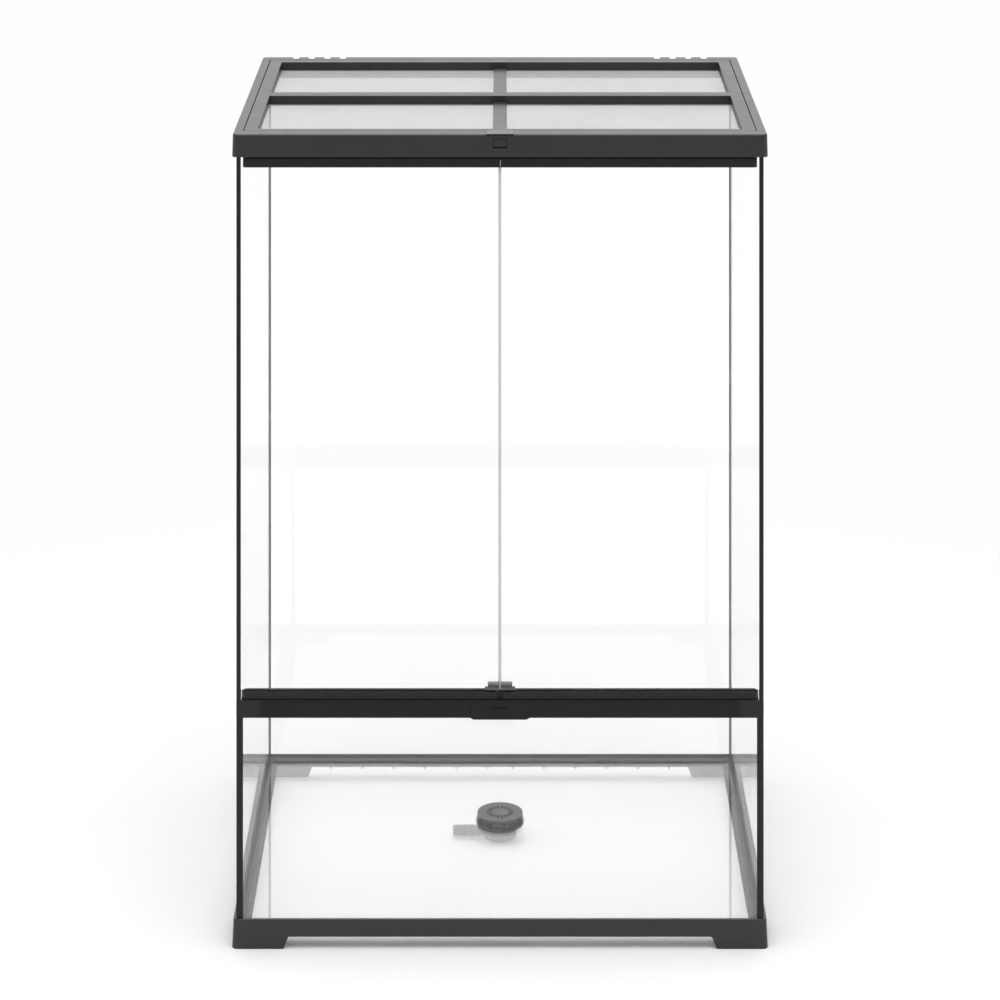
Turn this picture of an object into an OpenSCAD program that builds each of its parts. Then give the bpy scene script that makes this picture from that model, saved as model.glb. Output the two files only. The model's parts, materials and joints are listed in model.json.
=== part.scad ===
// Front-opening reptile terrarium: glass tank in a moulded base frame and top
// frame, two hinged glass doors over a front rail with a turning lock, a
// lift-off screen cover with a latch, and a floor drain.
// Millimetres, +X to the right, +Y to the back, +Z up. The origin is the centre
// of the footprint, on the surface that the feet stand on.

/* [Tank] */
// Overall width, measured over the frames
tank_w = 610; // [500:1:760]
// Overall depth, measured over the frames
tank_d = 460; // [400:1:560]
// Overall height, from the feet to the top frame
tank_h = 926; // [700:1:1000]
// Thickness of the fixed glass
glass_t = 5; // [4:0.5:6]
// How far the frames stand outside the glass
frame_overhang = 5; // [4.8:0.1:8]
// Gap between a frame wall and the glass, filled with glue
glue_gap = 0.5; // [0.4:0.1:1]
// Corner radius of both frames
corner_r = 6; // [5.5:0.5:7]
// Gap between the edges of neighbouring panes
pane_gap = 0.3; // [0.2:0.1:1]

/* [Base frame] */
// Height of the base frame
base_h = 33; // [30:1:45]
// How far the base frame draws in towards its top
base_taper = 1.5; // [0.5:0.1:1.6]
// Radius of the base frame's upper outside edge
base_edge_r = 1; // [0.5:0.1:1.6]
// Height of the ledge that carries the panes
ledge_top = 22.7; // [20:0.1:26]
// Thickness of the ledge
ledge_t = 3; // [2:0.5:4]
// Width of the ledge, from the outside of the frame
ledge_w = 21; // [16:0.5:26]
// Height of the arch between the corner feet
arch_h = 13.6; // [8:0.1:15]
// Length of a corner foot along the ground
foot_l = 57.4; // [45:0.1:80]
// Length of the sweep from a foot up to the arch
foot_sweep = 8; // [4:0.5:14]
// Distance between the ribs of both frames
rib_pitch = 40; // [36:1:60]
// Thickness of a rib
rib_t = 2; // [1.5:0.1:3]
// Depth of a base rib at the free edge of the ledge
rib_tip = 2.4; // [1.5:0.1:4]

/* [Front rail] */
// Height of the underside of the front rail
rail_bottom = 261.5; // [200:1:300]
// Height of the front rail
rail_h = 19.5; // [17.5:0.5:24]
// Distance of the rail face behind the front of the frames
rail_set = 3; // [3:0.1:3.4]
// Depth of the front rail from front to back
rail_depth = 15.2; // [15:0.1:18]
// Wall of the front rail
rail_wall = 2.4; // [2:0.1:2.6]
// How deep the low front pane stands in the rail
rail_grip = 2.2; // [1.5:0.1:2.6]
// Height of the door stop behind the front rail
stop_h = 7; // [4:0.5:8]
// Thickness of the door stops
stop_t = 1.8; // [1.5:0.1:2.5]
// Length of the raised strip on the rail
strip_l = 546; // [400:1:560]
// How far the strip and the lock plate stand proud
strip_proud = 0.8; // [0.4:0.1:0.9]
// Width of the lock plate at the rail's lower edge
plate_w = 67; // [50:1:80]
// How far the lock plate hangs below the rail
plate_drop = 1.8; // [1:0.1:3]

/* [Lock] */
// Diameter of the lock knob
knob_d = 15; // [12:0.5:16]
// How far the knob's disc stands in front of its plate
knob_rim = 0.5; // [0.3:0.1:0.6]
// Height of the finger bar on the knob
knob_bar_h = 1.3; // [0.8:0.1:1.3]
// Width of the finger bar
knob_bar_w = 3.6; // [2.5:0.1:5]
// Diameter of the knob's shaft
knob_shaft_d = 5; // [4:0.5:6]
// Distance of the crank pin from the knob's axis
crank_r = 2.4; // [2:0.1:2.6]
// Diameter of the crank pin
crank_pin_d = 2.6; // [2:0.1:3]
// Width of the lock bolt
bolt_w = 24; // [18:0.5:30]
// Thickness of the lock bolt
bolt_t = 3.4; // [2.5:0.1:3.6]
// Width of the fixed post between the doors
post_w = 6.4; // [5:0.1:8]

/* [Doors] */
// Thickness of the door glass
door_glass_t = 4; // [3:0.5:4]
// Distance of the door rails behind the front of the frames
door_set = 6; // [5.8:0.1:6.4]
// Depth of the door rails
door_rail_d = 9.5; // [9:0.1:9.6]
// Height of a bottom door rail
door_rail_h = 9.2; // [8:0.1:12]
// Length of the keeper at the inner end of a lower door rail
keeper_l = 13; // [11:0.5:16]
// Height of a top door rail
top_rail_h = 11; // [9:0.5:14]
// Gap under the doors
door_gap_low = 0.8; // [0.5:0.1:1.2]
// Gap over the doors
door_gap_high = 2; // [1.5:0.1:3]
// Distance of the hinge axis from the inside of the side pane
hinge_in = 6.5; // [6:0.1:8]
// Diameter of the hinge pins
hinge_pin_d = 3; // [2.5:0.1:3.5]
// Free length of a hinge pin outside its door rail
hinge_pin_l = 6; // [5:0.5:8]
// Wall of a hinge bush
bush_wall = 1.5; // [1:0.1:2]
// Gap between the two door panes
door_split = 3.8; // [3:0.1:5]
// Gap between the two top door rails
rail_split = 1; // [0.6:0.1:2]
// Width of the step on the bottom door rails
rail_lip = 1; // [0.8:0.1:1.2]
// Height of that step
rail_lip_h = 1.4; // [1:0.1:2]
// Width of a finger pull
pull_w = 16.2; // [10:0.1:20]
// Height of a finger pull above the door rail
pull_h = 9; // [7:0.5:12]
// Reach of the finger lip
pull_reach = 5.4; // [4:0.1:5.8]

/* [Top frame] */
// Height of the skirt of the top frame
skirt_h = 26; // [24:0.5:34]
// How far the skirt draws in towards its top
skirt_taper = 0.7; // [0.3:0.1:1.7]
// Thickness of the moulded plastic on top
top_t = 3; // [2:0.1:3.2]
// Radius of the top frame's upper outside edge
top_edge_r = 2; // [0.5:0.1:2.4]
// Width of the top frame's side strips
side_strip = 11.1; // [10.6:0.1:14]
// Width of its front strip
front_strip = 18.5; // [18.3:0.1:22]
// Width of its rear strip
rear_strip = 20; // [19:0.1:26]
// Thickness of the wall round the screen cover
rebate_t = 2; // [1.5:0.1:2.4]
// Depth of the seat of the screen cover under the top
rebate_depth = 14; // [12:0.5:16]
// Width of the ledge that carries the screen cover
cover_ledge = 12; // [9:0.5:14]
// Gap round the screen cover
cover_gap = 1; // [0.6:0.1:1.4]
// Width of a tube inlet
inlet_w = 8; // [6:0.5:10]
// Depth of a tube inlet from the rear edge
inlet_l = 13; // [10:0.5:14]
// Distance between the tube inlets
inlet_pitch = 20; // [18:0.5:24]
// Number of tube inlets on each side
inlet_count = 4; // [2:1:5]
// Distance of the outermost inlet from the side of the frame
inlet_edge = 43.5; // [30:0.5:60]
// Thickness of an inlet shutter
shutter_t = 2; // [1.5:0.1:3]
// How far a shutter reaches past its outer inlets
shutter_end_l = 7; // [5:0.5:9]

/* [Screen cover] */
// Width of the cover's side strips
cover_side = 15; // [14:0.5:22]
// Width of the cover's front strip
cover_front = 10.5; // [10:0.5:18]
// Width of the cover's rear strip
cover_rear = 15; // [14:0.5:22]
// Width of the cross bar
cross_w = 21; // [16:0.5:30]
// Distance of the cross bar's middle in front of the tank's middle
cross_fwd = 4.5; // [0:0.5:20]
// Width of the lower centre bars
centre_w = 16; // [10:0.5:24]
// How far the centre bars lie under the top
centre_drop = 7; // [5:0.5:7]
// Wall of the cover's channels
cover_wall = 2.5; // [2:0.1:3]
// Depth of the screen under the top of the cover
screen_depth = 10.7; // [9:0.1:11]
// Thickness of the screen
screen_t = 0.5; // [0.4:0.1:0.8]
// Strands of the screen across the tank
screen_rows = 13; // [6:1:16]
// Strands of the screen from front to back
screen_columns = 19; // [8:1:20]
// Width of one strand
strand_w = 0.8; // [0.5:0.1:1.2]
// Width of the retainer under the screen
retainer_w = 9; // [6:0.5:9]
// Width of the latch's finger tab
latch_w = 32; // [24:1:40]
// Thickness of the finger tab
latch_t = 1.6; // [1.2:0.1:2]
// Width of the latch window and of the nose behind it
latch_window_w = 16; // [12:0.5:20]
// Height of the latch window
latch_window_h = 11; // [8:0.5:11]
// Depth of the latch window under the top
latch_window_drop = 5; // [4.6:0.1:6]

/* [Drain] */
// Distance of the drain behind the tank's middle
drain_back = 50; // [-60:1:90]
// Diameter of the hole in the floor pane
drain_hole_d = 40; // [38.5:0.5:41]
// Diameter of the strainer's disc
strainer_d = 55.5; // [50:0.5:64]
// Thickness of the strainer's disc
strainer_t = 3; // [2:0.5:4]
// Height of the feet under the disc
strainer_foot = 4; // [3:0.5:8]
// Gap between the strainer's neck and the cup
neck_gap = 0.8; // [0.4:0.1:1.5]
// Wall of the strainer's neck
neck_wall = 2; // [1.6:0.1:2.6]
// Draw-in of the neck's tip, on the diameter
neck_draw = 9; // [6:0.5:10]
// Number of slots in the strainer
slot_count = 18; // [10:1:20]
// Number of feet under the disc
foot_count = 12; // [6:1:14]
// Diameter of the drain body's flange
flange_d = 59; // [55:0.5:70]
// Thickness of that flange
flange_t = 4.2; // [4:0.1:5]
// Outer diameter of the cup
cup_d = 40; // [38:0.5:41]
// Clearance between the cup and the ground
cup_clear = 2.5; // [2.2:0.1:3]
// Wall of the cup
cup_wall = 2; // [1.6:0.1:2.6]
// Outer diameter of the O-ring
o_ring_d = 48.7; // [46:0.1:50]
// Section of the O-ring
o_ring_t = 2.6; // [2:0.1:3]
// Outer diameter of the hose spigot's plain land
spigot_d = 12.4; // [11:0.1:13]
// Bore of the hose spigot
spigot_bore = 8; // [7:0.5:8.5]
// Step from the cup's floor up to the bore
spigot_step = 0.6; // [0.3:0.1:1]
// Reach of the spigot from the drain's axis
spigot_reach = 57.5; // [50:0.5:70]
// Height of the barbs on the spigot
barb_h = 1; // [0.6:0.1:1.2]

/* [Beads and trims] */
// Leg of the sealant bead round the floor
floor_bead = 5; // [3:0.5:6]
// Height of the floor's bead along the low front pane
front_bead = 1.4; // [0.8:0.1:3]
// Leg of the sealant beads in the corners
corner_bead = 3; // [2:0.5:4]
// Thickness of the black trim on the panes' front edges
trim_t = 1.2; // [0.8:0.1:1.4]

/* [Motion] */
// Gap between faces that slide or turn past each other
run_gap = 0.3; // [0.2:0.05:0.4]
// Gap round a turning pin, on the radius
pin_gap = 0.05; // [0.02:0.01:0.09]
// Angle of the lock knob between open and locked
knob_turn = 90; // [80:1:100]

/* [Hidden] */
$fn = 48;
eps = 0.01;

half_w = tank_w / 2;
half_d = tank_d / 2;
front_y = -half_d;

// Glass box
glass_x = half_w - frame_overhang;
glass_y = half_d - frame_overhang;
inner_x = glass_x - glass_t;
inner_y = glass_y - glass_t;
floor_top = ledge_top + glass_t;

// Frame walls, as offsets inward from the outside
wall_in = frame_overhang - glue_gap;
rib_clear = 12;
skirt_z = tank_h - skirt_h;
seat_z = tank_h - rebate_depth;
pane_top = seat_z - top_t;
strip_x = half_w - side_strip;
strip_y0 = front_y + front_strip;
strip_y1 = half_d - rear_strip;
seat_y0 = strip_y0 - rebate_t;
seat_y1 = strip_y1 + rebate_t;
lip_reach = 3.5;

// Front rail and lock
rail_y = front_y + rail_set;
rail_back_y = rail_y + rail_depth;
rail_top = rail_bottom + rail_h;
sill_top = rail_bottom + rail_grip;
knob_z = rail_bottom + rail_h / 2;
plate_y = rail_y - strip_proud;
plate_draw = 3.5;
post_y = front_y + door_set + run_gap;
crank_t = 2;
crank_y = rail_y + rail_wall + run_gap;
bolt_y = crank_y + crank_t + run_gap;
crank_rest = -knob_turn / 2;
crank_x = crank_r * cos(crank_rest);
bolt_travel = 2 * crank_r * sin(knob_turn / 2);
slot_z = knob_z + crank_r * sin(crank_rest);
bolt_top = rail_top - 0.1;
bolt_low = slot_z - crank_pin_d / 2 - run_gap - 1.6;
bolt_hole_x = bolt_w / 2 + run_gap;

// Doors
door_y = front_y + door_set;
door_back_y = door_y + door_rail_d;
hinge_y = door_y + door_rail_d / 2;
hinge_x = inner_x - hinge_in;
door_low = rail_top + door_gap_low;
door_high = skirt_z - door_gap_high;
lip_z = door_low + door_rail_h;
door_step_z = lip_z - rail_lip_h;
door_glass_y = door_y + 4.2;
bolt_pocket_top = bolt_top + bolt_travel + 0.7;
door_glass_low = bolt_pocket_top + 0.6;
pin_grip = 4.5;
door_glass_high = door_high - pin_grip - 1;
door_glass_x = hinge_x + door_rail_d / 2 - 1;
door_end_x = post_w / 2 + 0.4;
pull_x = 1;
keeper_x = door_end_x + keeper_l;
pull_z = lip_z + 0.2;

// Screen cover
cover_x = half_w - side_strip - cover_gap;
cover_y0 = front_y + front_strip + cover_gap;
cover_y1 = half_d - rear_strip - cover_gap;
window_x = cover_x - cover_side;
window_y0 = cover_y0 + cover_front;
window_y1 = cover_y1 - cover_rear;
cross_y = -cross_fwd;
screen_z = tank_h - screen_depth - screen_t;
bar_z = screen_z + screen_t;
centre_z = tank_h - centre_drop;
nose_wall = 1.5;
window_in = 8;
screen_inset = 2;
clip_t = 1.4;
clip_h = 4;
tongue_out = 0.8;
tongue_h = 2.6;
tongue_gap = 0.2;

// Shutters
shutter_z = tank_h - top_t - run_gap - shutter_t;
shutter_y0 = half_d - rear_strip + rebate_t + run_gap;
shutter_y1 = half_d - wall_in - run_gap;
inlet_x = [for (i = [0:inlet_count - 1]) half_w - inlet_edge - i * inlet_pitch];
inlet_mid = half_w - inlet_edge - (inlet_count - 1) * inlet_pitch / 2;
shutter_l = (inlet_count - 1) * inlet_pitch + inlet_w + 2 * shutter_end_l;
shutter_end = inlet_mid + shutter_l / 2;
shutter_travel = inlet_pitch / 2;
tab_w = 6;
inlet_corner = 2;
comb_x0 = inlet_mid - shutter_l / 2 - 2;
comb_x1 = shutter_end + shutter_travel + 2;
runner_t = 1.5;

// Drain
neck_d = cup_d - 2 * cup_wall - 2 * neck_gap;
disc_z = floor_top + run_gap + strainer_foot;
flange_z = ledge_top - flange_t;
spigot_z = cup_clear + cup_wall + spigot_bore / 2 + spigot_step;
tip_z = spigot_z + 2;

// Box given by its ranges along X, Y and Z
module block(x, y, z) {
    translate([x[0], y[0], z[0]])
        cube([x[1] - x[0], y[1] - y[0], z[1] - z[0]]);
}

// Section drawn in Y and Z, carried along X over the length l
module along_x(l) {
    rotate([90, 0, 90])
        linear_extrude(height = l, center = true)
            children();
}

// Section drawn in X and Z, carried along Y over the length l
module along_y(l) {
    rotate([90, 0, 0])
        linear_extrude(height = l, center = true)
            children();
}

// Both halves of something drawn on the right
module both_sides() {
    children();
    mirror([1, 0, 0])
        children();
}

// Closed ring with round corners; the section is drawn inward from the outside
module ring_of_section(w, d, r) {
    for (side = [0, 1])
        mirror([0, side, 0])
            along_x(w - 2 * r)
                translate([-d / 2, 0])
                    children();
    for (side = [0, 1])
        mirror([side, 0, 0])
            along_y(d - 2 * r)
                translate([-w / 2, 0])
                    children();
    for (sx = [0, 1], sy = [0, 1])
        mirror([sx, 0, 0])
            mirror([0, sy, 0])
                translate([w / 2 - r, d / 2 - r, 0])
                    rotate_extrude(angle = 90)
                        translate([r, 0])
                            mirror([1, 0])
                                children();
}

// Wall of a frame, drawn in by taper at its top, with its upper edge round
module tapered_wall(z0, z1, lean0, lean1, edge_r) {
    ring_of_section(tank_w, tank_d, corner_r)
        polygon([
            [lean0, z0], [wall_in, z0], [wall_in, z1],
            for (a = [90:-22.5:0])
                [lean1 + edge_r - edge_r * cos(a), z1 - edge_r + edge_r * sin(a)]
        ]);
}

// Positions of the ribs along a side of the given half length
function rib_places(half) =
    let (last = half - rib_clear)
    [for (i = [-floor(last / rib_pitch + 0.4):floor(last / rib_pitch + 0.4)])
        let (p = i * rib_pitch + (i > 0 ? -1 : 1) * rib_pitch * 0.6)
        if (i != 0 && abs(p) < last) p];

// Smooth sweep from 0 to 1 for the ends of the base arches
function sweep(t) = (1 - cos(180 * t)) / 2;

// Outline of the arch between two feet, of the given span at the ground
module arch_outline(span) {
    steps = 10;
    rise = [for (i = [0:steps]) [span / 2 - foot_sweep * i / steps, arch_h * sweep(i / steps)]];
    fall = [for (i = [steps:-1:0]) [-rise[i][0], rise[i][1]]];
    polygon(concat([[span / 2, -1]], rise, fall, [[-span / 2, -1]]));
}

// Gusset under the base ledge, drawn outward from the ledge's free edge
module base_rib() {
    reach = ledge_w - wall_in;
    translate([0, 0, ledge_top - ledge_t])
        along_x(rib_t)
            polygon([
                [-reach - 1, 1], [0, 1], [0, -rib_tip],
                [-reach, -(ledge_top - ledge_t - arch_h - 0.4)],
                [-reach - 1, -(ledge_top - ledge_t - arch_h - 0.4)]
            ]);
}

module base_frame() {
    color([0.18, 0.18, 0.19])
        difference() {
            union() {
                tapered_wall(0, base_h, 0, base_taper, base_edge_r);
                difference() {
                    block([-half_w + wall_in - 1, half_w - wall_in + 1],
                          [-half_d + wall_in - 1, half_d - wall_in + 1],
                          [ledge_top - ledge_t, ledge_top]);
                    block([-half_w + ledge_w, half_w - ledge_w],
                          [-half_d + ledge_w, half_d - ledge_w],
                          [0, base_h]);
                }
                for (x = rib_places(half_w - ledge_w), side = [0, 1])
                    mirror([0, side, 0])
                        translate([x, -half_d + ledge_w, 0])
                            base_rib();
                for (y = rib_places(half_d - ledge_w), side = [0, 1])
                    mirror([side, 0, 0])
                        translate([-half_w + ledge_w, y, 0])
                            rotate([0, 0, -90])
                                base_rib();
            }
            rotate([90, 0, 0])
                linear_extrude(height = tank_d + 2, center = true)
                    arch_outline(tank_w - 2 * foot_l);
            rotate([90, 0, 90])
                linear_extrude(height = tank_w + 2, center = true)
                    arch_outline(tank_d - 2 * foot_l);
        }
}

module floor_pane() {
    color([0.8, 0.88, 0.86, 0.35])
        difference() {
            block([-inner_x + pane_gap, inner_x - pane_gap],
                  [-inner_y + pane_gap, inner_y - pane_gap],
                  [ledge_top, floor_top]);
            translate([0, drain_back, ledge_top - 1])
                cylinder(h = glass_t + 2, d = drain_hole_d);
        }
}

module side_pane() {
    color([0.8, 0.88, 0.86, 0.35])
        block([inner_x, glass_x], [-glass_y, glass_y], [ledge_top, pane_top]);
}

module left_side_pane() {
    mirror([1, 0, 0])
        side_pane();
}

module right_side_pane() {
    side_pane();
}

module rear_pane() {
    color([0.8, 0.88, 0.86, 0.35])
        block([-inner_x + pane_gap, inner_x - pane_gap], [inner_y, glass_y],
              [ledge_top, pane_top]);
}

module front_sill_pane() {
    color([0.8, 0.88, 0.86, 0.35])
        block([-inner_x + pane_gap, inner_x - pane_gap], [-glass_y, -inner_y],
              [ledge_top, sill_top]);
}

// Bead of sealant round the floor, a mitred ring of triangular section
module floor_sealant() {
    color([0.04, 0.04, 0.04])
        intersection() {
            union() {
                block([-inner_x, inner_x], [-inner_y + floor_bead, inner_y],
                      [floor_top, floor_top + floor_bead]);
                block([-inner_x, inner_x], [-inner_y, -inner_y + floor_bead + eps],
                      [floor_top, floor_top + front_bead]);
            }
            union() {
                for (side = [0, 1])
                    mirror([0, side, 0])
                        along_x(2 * inner_x)
                            polygon([[-inner_y, floor_top], [-inner_y + floor_bead, floor_top],
                                     [-inner_y, floor_top + floor_bead]]);
                for (side = [0, 1])
                    mirror([side, 0, 0])
                        along_y(2 * inner_y)
                            polygon([[-inner_x, floor_top], [-inner_x + floor_bead, floor_top],
                                     [-inner_x, floor_top + floor_bead]]);
            }
        }
}

// Bead in an upright corner of the tank, of triangular section
module corner_bead_bar(sy, z0, z1) {
    translate([0, 0, z0])
        linear_extrude(height = z1 - z0)
            polygon([[inner_x, sy * inner_y], [inner_x - corner_bead, sy * inner_y],
                     [inner_x, sy * (inner_y - corner_bead)]]);
}

module rear_corner_sealant() {
    color([0.04, 0.04, 0.04])
        both_sides()
            corner_bead_bar(1, floor_top + floor_bead, pane_top);
}

module front_corner_sealant() {
    color([0.04, 0.04, 0.04])
        both_sides()
            corner_bead_bar(-1, floor_top + front_bead, rail_bottom);
}

// Black trim on the front edge of a side pane, above and below the rail
module edge_trim() {
    color([0.06, 0.06, 0.065]) {
        block([inner_x, glass_x], [-glass_y - trim_t, -glass_y], [rail_top, skirt_z - 0.5]);
        block([inner_x - 2.5, glass_x], [-glass_y - trim_t, -glass_y], [base_h, rail_bottom]);
    }
}

module left_edge_trim() {
    mirror([1, 0, 0])
        edge_trim();
}

module right_edge_trim() {
    edge_trim();
}

// Section of the front rail, in Y and Z: a hollow bar with a groove for the low
// front pane below and a stop for the doors behind
module rail_section() {
    difference() {
        polygon([
            [rail_y, rail_bottom], [rail_back_y, rail_bottom], [rail_back_y, rail_top + stop_h],
            [rail_back_y - stop_t, rail_top + stop_h], [rail_back_y - stop_t, rail_top],
            [rail_y, rail_top]
        ]);
        polygon([
            [rail_y + rail_wall, sill_top + 1.2], [rail_back_y - rail_wall, sill_top + 1.2],
            [rail_back_y - rail_wall, rail_top - rail_wall], [rail_y + rail_wall, rail_top - rail_wall]
        ]);
        polygon([
            [-glass_y, rail_bottom - 1], [-inner_y, rail_bottom - 1],
            [-inner_y, sill_top], [-glass_y, sill_top]
        ]);
    }
}

module front_rail() {
    color([0.13, 0.13, 0.14])
        difference() {
            union() {
                along_x(2 * inner_x - 2 * pane_gap)
                    rail_section();
                block([-glass_x, glass_x], [rail_y, -glass_y - eps], [rail_bottom, rail_top]);
                both_sides()
                    block([inner_x - 2, inner_x - pane_gap], [rail_y, rail_back_y],
                          [sill_top, rail_top]);
                both_sides()
                    block([hinge_x - 6, inner_x - pane_gap - 1], [rail_y + 1, rail_back_y - 1],
                          [sill_top + 1, rail_top - 1]);
            }
            translate([0, 0, rail_bottom - 1])
                both_sides()
                    translate([hinge_x, hinge_y, rail_top - rail_bottom - hinge_pin_l])
                        cylinder(h = hinge_pin_l + 2, d = hinge_pin_d + 2 * bush_wall + 2 * pin_gap);
            block([-bolt_hole_x, bolt_hole_x], [bolt_y - run_gap, bolt_y + bolt_t + run_gap],
                  [bolt_low - run_gap, rail_top + 1]);
            translate([0, rail_y - 1, knob_z])
                rotate([-90, 0, 0])
                    cylinder(h = rail_wall + 2, d = knob_shaft_d + 3);
        }
}

module rail_strip() {
    color([0.12, 0.12, 0.125])
        difference() {
            hull() {
                both_sides()
                    translate([strip_l / 2 - 4, rail_y, rail_top - 5])
                        rotate([90, 0, 0])
                            cylinder(h = strip_proud, r = 4, $fn = 32);
                block([-strip_l / 2, strip_l / 2], [rail_y - strip_proud, rail_y],
                      [rail_bottom + 1, rail_bottom + 2]);
            }
            block([-plate_w / 2 - run_gap, plate_w / 2 + run_gap], [rail_y - 2, rail_y + 1],
                  [rail_bottom, rail_top]);
        }
}

module lock_plate() {
    color([0.12, 0.12, 0.125])
        difference() {
            union() {
                translate([0, rail_y, 0])
                    rotate([90, 0, 0])
                        linear_extrude(height = strip_proud)
                            polygon([
                                [-plate_w / 2, rail_bottom], [-plate_w / 2 + plate_draw, rail_bottom - plate_drop],
                                [plate_w / 2 - plate_draw, rail_bottom - plate_drop], [plate_w / 2, rail_bottom],
                                [plate_w / 2, rail_top - 1], [-plate_w / 2, rail_top - 1]
                            ]);
                block([-post_w / 2, post_w / 2], [post_y, post_y + 1],
                      [rail_top, rail_top + door_rail_h]);
                block([-post_w / 2, post_w / 2], [rail_y - strip_proud, post_y + 1],
                      [rail_top, rail_top + 0.6]);
                block([-post_w / 2, post_w / 2], [rail_y - strip_proud, rail_y],
                      [rail_top - 2, rail_top + 0.6]);
            }
            translate([0, rail_y + 1, knob_z])
                rotate([90, 0, 0])
                    cylinder(h = strip_proud + 2, d = knob_shaft_d + 2 * pin_gap);
        }
}

module lock_knob() {
    disc_t = knob_rim;
    color([0.16, 0.16, 0.17])
        translate([0, plate_y - 0.2, knob_z])
            rotate([90, 0, 0]) {
                cylinder(h = disc_t, d = knob_d);
                translate([0, 0, -(crank_y - plate_y) - 0.2])
                    cylinder(h = crank_y - plate_y + 0.2 + disc_t, d = knob_shaft_d);
                intersection() {
                    cylinder(h = disc_t + knob_bar_h, d = knob_d);
                    translate([-knob_d / 2, -knob_bar_w / 2, 0])
                        cube([knob_d, knob_bar_w, disc_t + knob_bar_h]);
                }
            }
}

// Crank behind the rail wall: a disc on the knob's shaft with a pin for the bolt
module lock_crank() {
    color([0.7, 0.7, 0.68])
        translate([0, crank_y, knob_z])
            rotate([-90, 0, 0]) {
                cylinder(h = crank_t, d = 2 * crank_r + crank_pin_d + 1.6);
                translate([crank_x, -crank_r * sin(crank_rest), crank_t - eps])
                    cylinder(h = bolt_t + run_gap, d = crank_pin_d);
            }
}

module lock_bolt() {
    slot_r = crank_pin_d / 2 + 0.2;
    color([0.72, 0.72, 0.7])
        difference() {
            block([-bolt_w / 2, bolt_w / 2], [bolt_y, bolt_y + bolt_t], [bolt_low, bolt_top]);
            block([crank_x - slot_r, crank_r + slot_r], [bolt_y - 1, bolt_y + bolt_t + 1],
                  [slot_z - slot_r, slot_z + slot_r]);
        }
}

// Flanged bush for a hinge pin, its flange at the bottom
module hinge_bush(l) {
    difference() {
        cylinder(h = l, d = hinge_pin_d + 2 * bush_wall);
        translate([0, 0, -1])
            cylinder(h = l + 2, d = hinge_pin_d + 2 * pin_gap);
    }
}

module lower_hinge_bushes() {
    color([0.75, 0.74, 0.7])
        both_sides()
            translate([hinge_x, hinge_y, rail_top - hinge_pin_l - 1])
                hinge_bush(hinge_pin_l + 1);
}

module upper_hinge_bushes() {
    color([0.75, 0.74, 0.7])
        both_sides()
            translate([hinge_x, hinge_y, skirt_z])
                hinge_bush(hinge_pin_l + 1);
}

module door_pane() {
    color([0.8, 0.88, 0.86, 0.35])
        block([door_split / 2, door_glass_x], [door_glass_y, door_glass_y + door_glass_t],
              [door_glass_low, door_glass_high]);
}

module left_door_pane() {
    mirror([1, 0, 0])
        door_pane();
}

module right_door_pane() {
    door_pane();
}

// Plan of a door rail: straight, with its hinge end round about the hinge axis
module door_rail_plan(x0, z0, z1) {
    block([x0, hinge_x], [door_y, door_back_y], [z0, z1]);
    translate([hinge_x, hinge_y, z0])
        cylinder(h = z1 - z0, d = door_rail_d);
}

// Section of a top door rail, in Y and Z, with its glass groove
module top_rail_section() {
    bevel = 1;
    difference() {
        polygon([
            [door_y, door_high - top_rail_h], [door_back_y, door_high - top_rail_h],
            [door_back_y, door_high], [door_y + bevel, door_high], [door_y, door_high - bevel]
        ]);
        polygon([
            [door_glass_y, door_high - top_rail_h - 1],
            [door_glass_y + door_glass_t, door_high - top_rail_h - 1],
            [door_glass_y + door_glass_t, door_glass_high], [door_glass_y, door_glass_high]
        ]);
    }
}

module door_top_rail() {
    color([0.13, 0.13, 0.14])
        difference() {
            intersection() {
                door_rail_plan(rail_split / 2, door_high - top_rail_h, door_high);
                along_x(tank_w)
                    top_rail_section();
            }
            translate([hinge_x, hinge_y, door_high - pin_grip])
                cylinder(h = pin_grip + 1, d = hinge_pin_d);
        }
}

module left_door_top_rail() {
    mirror([1, 0, 0])
        door_top_rail();
}

module right_door_top_rail() {
    door_top_rail();
}

// Section of a bottom door rail: two fine grooves in its face, a step on top and
// a lip against the glass
module bottom_rail_section() {
    cut = 0.5;
    low_groove = door_low + 2.4;
    high_groove = door_low + 5;
    difference() {
        polygon([
            [door_y, door_low], [door_back_y, door_low], [door_back_y, lip_z],
            [door_glass_y - rail_lip, lip_z], [door_glass_y - rail_lip, door_step_z],
            [door_y, door_step_z],
            [door_y, high_groove + cut], [door_y + cut, high_groove], [door_y, high_groove - cut],
            [door_y, low_groove + cut], [door_y + cut, low_groove], [door_y, low_groove - cut]
        ]);
        polygon([
            [door_glass_y, door_glass_low], [door_glass_y + door_glass_t, door_glass_low],
            [door_glass_y + door_glass_t, lip_z + 1], [door_glass_y, lip_z + 1]
        ]);
    }
}

module door_bottom_rail() {
    color([0.13, 0.13, 0.14])
        difference() {
            intersection() {
                door_rail_plan(keeper_x, door_low, lip_z);
                along_x(tank_w)
                    bottom_rail_section();
            }
            translate([hinge_x, hinge_y, door_low - 1])
                cylinder(h = 4, d = hinge_pin_d);
        }
}

module left_door_bottom_rail() {
    mirror([1, 0, 0])
        door_bottom_rail();
}

module right_door_bottom_rail() {
    door_bottom_rail();
}

// Keeper at the inner end of a lower door rail, with the pocket for the bolt
module lock_keeper() {
    color([0.13, 0.13, 0.14])
        difference() {
            translate([(door_end_x + keeper_x) / 2, 0, 0])
                along_x(keeper_l)
                    bottom_rail_section();
            block([0, bolt_w / 2 + 2 * run_gap],
                  [bolt_y - 1.5 * run_gap, bolt_y + bolt_t + 1.5 * run_gap],
                  [door_low - 1, bolt_pocket_top]);
        }
}

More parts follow.
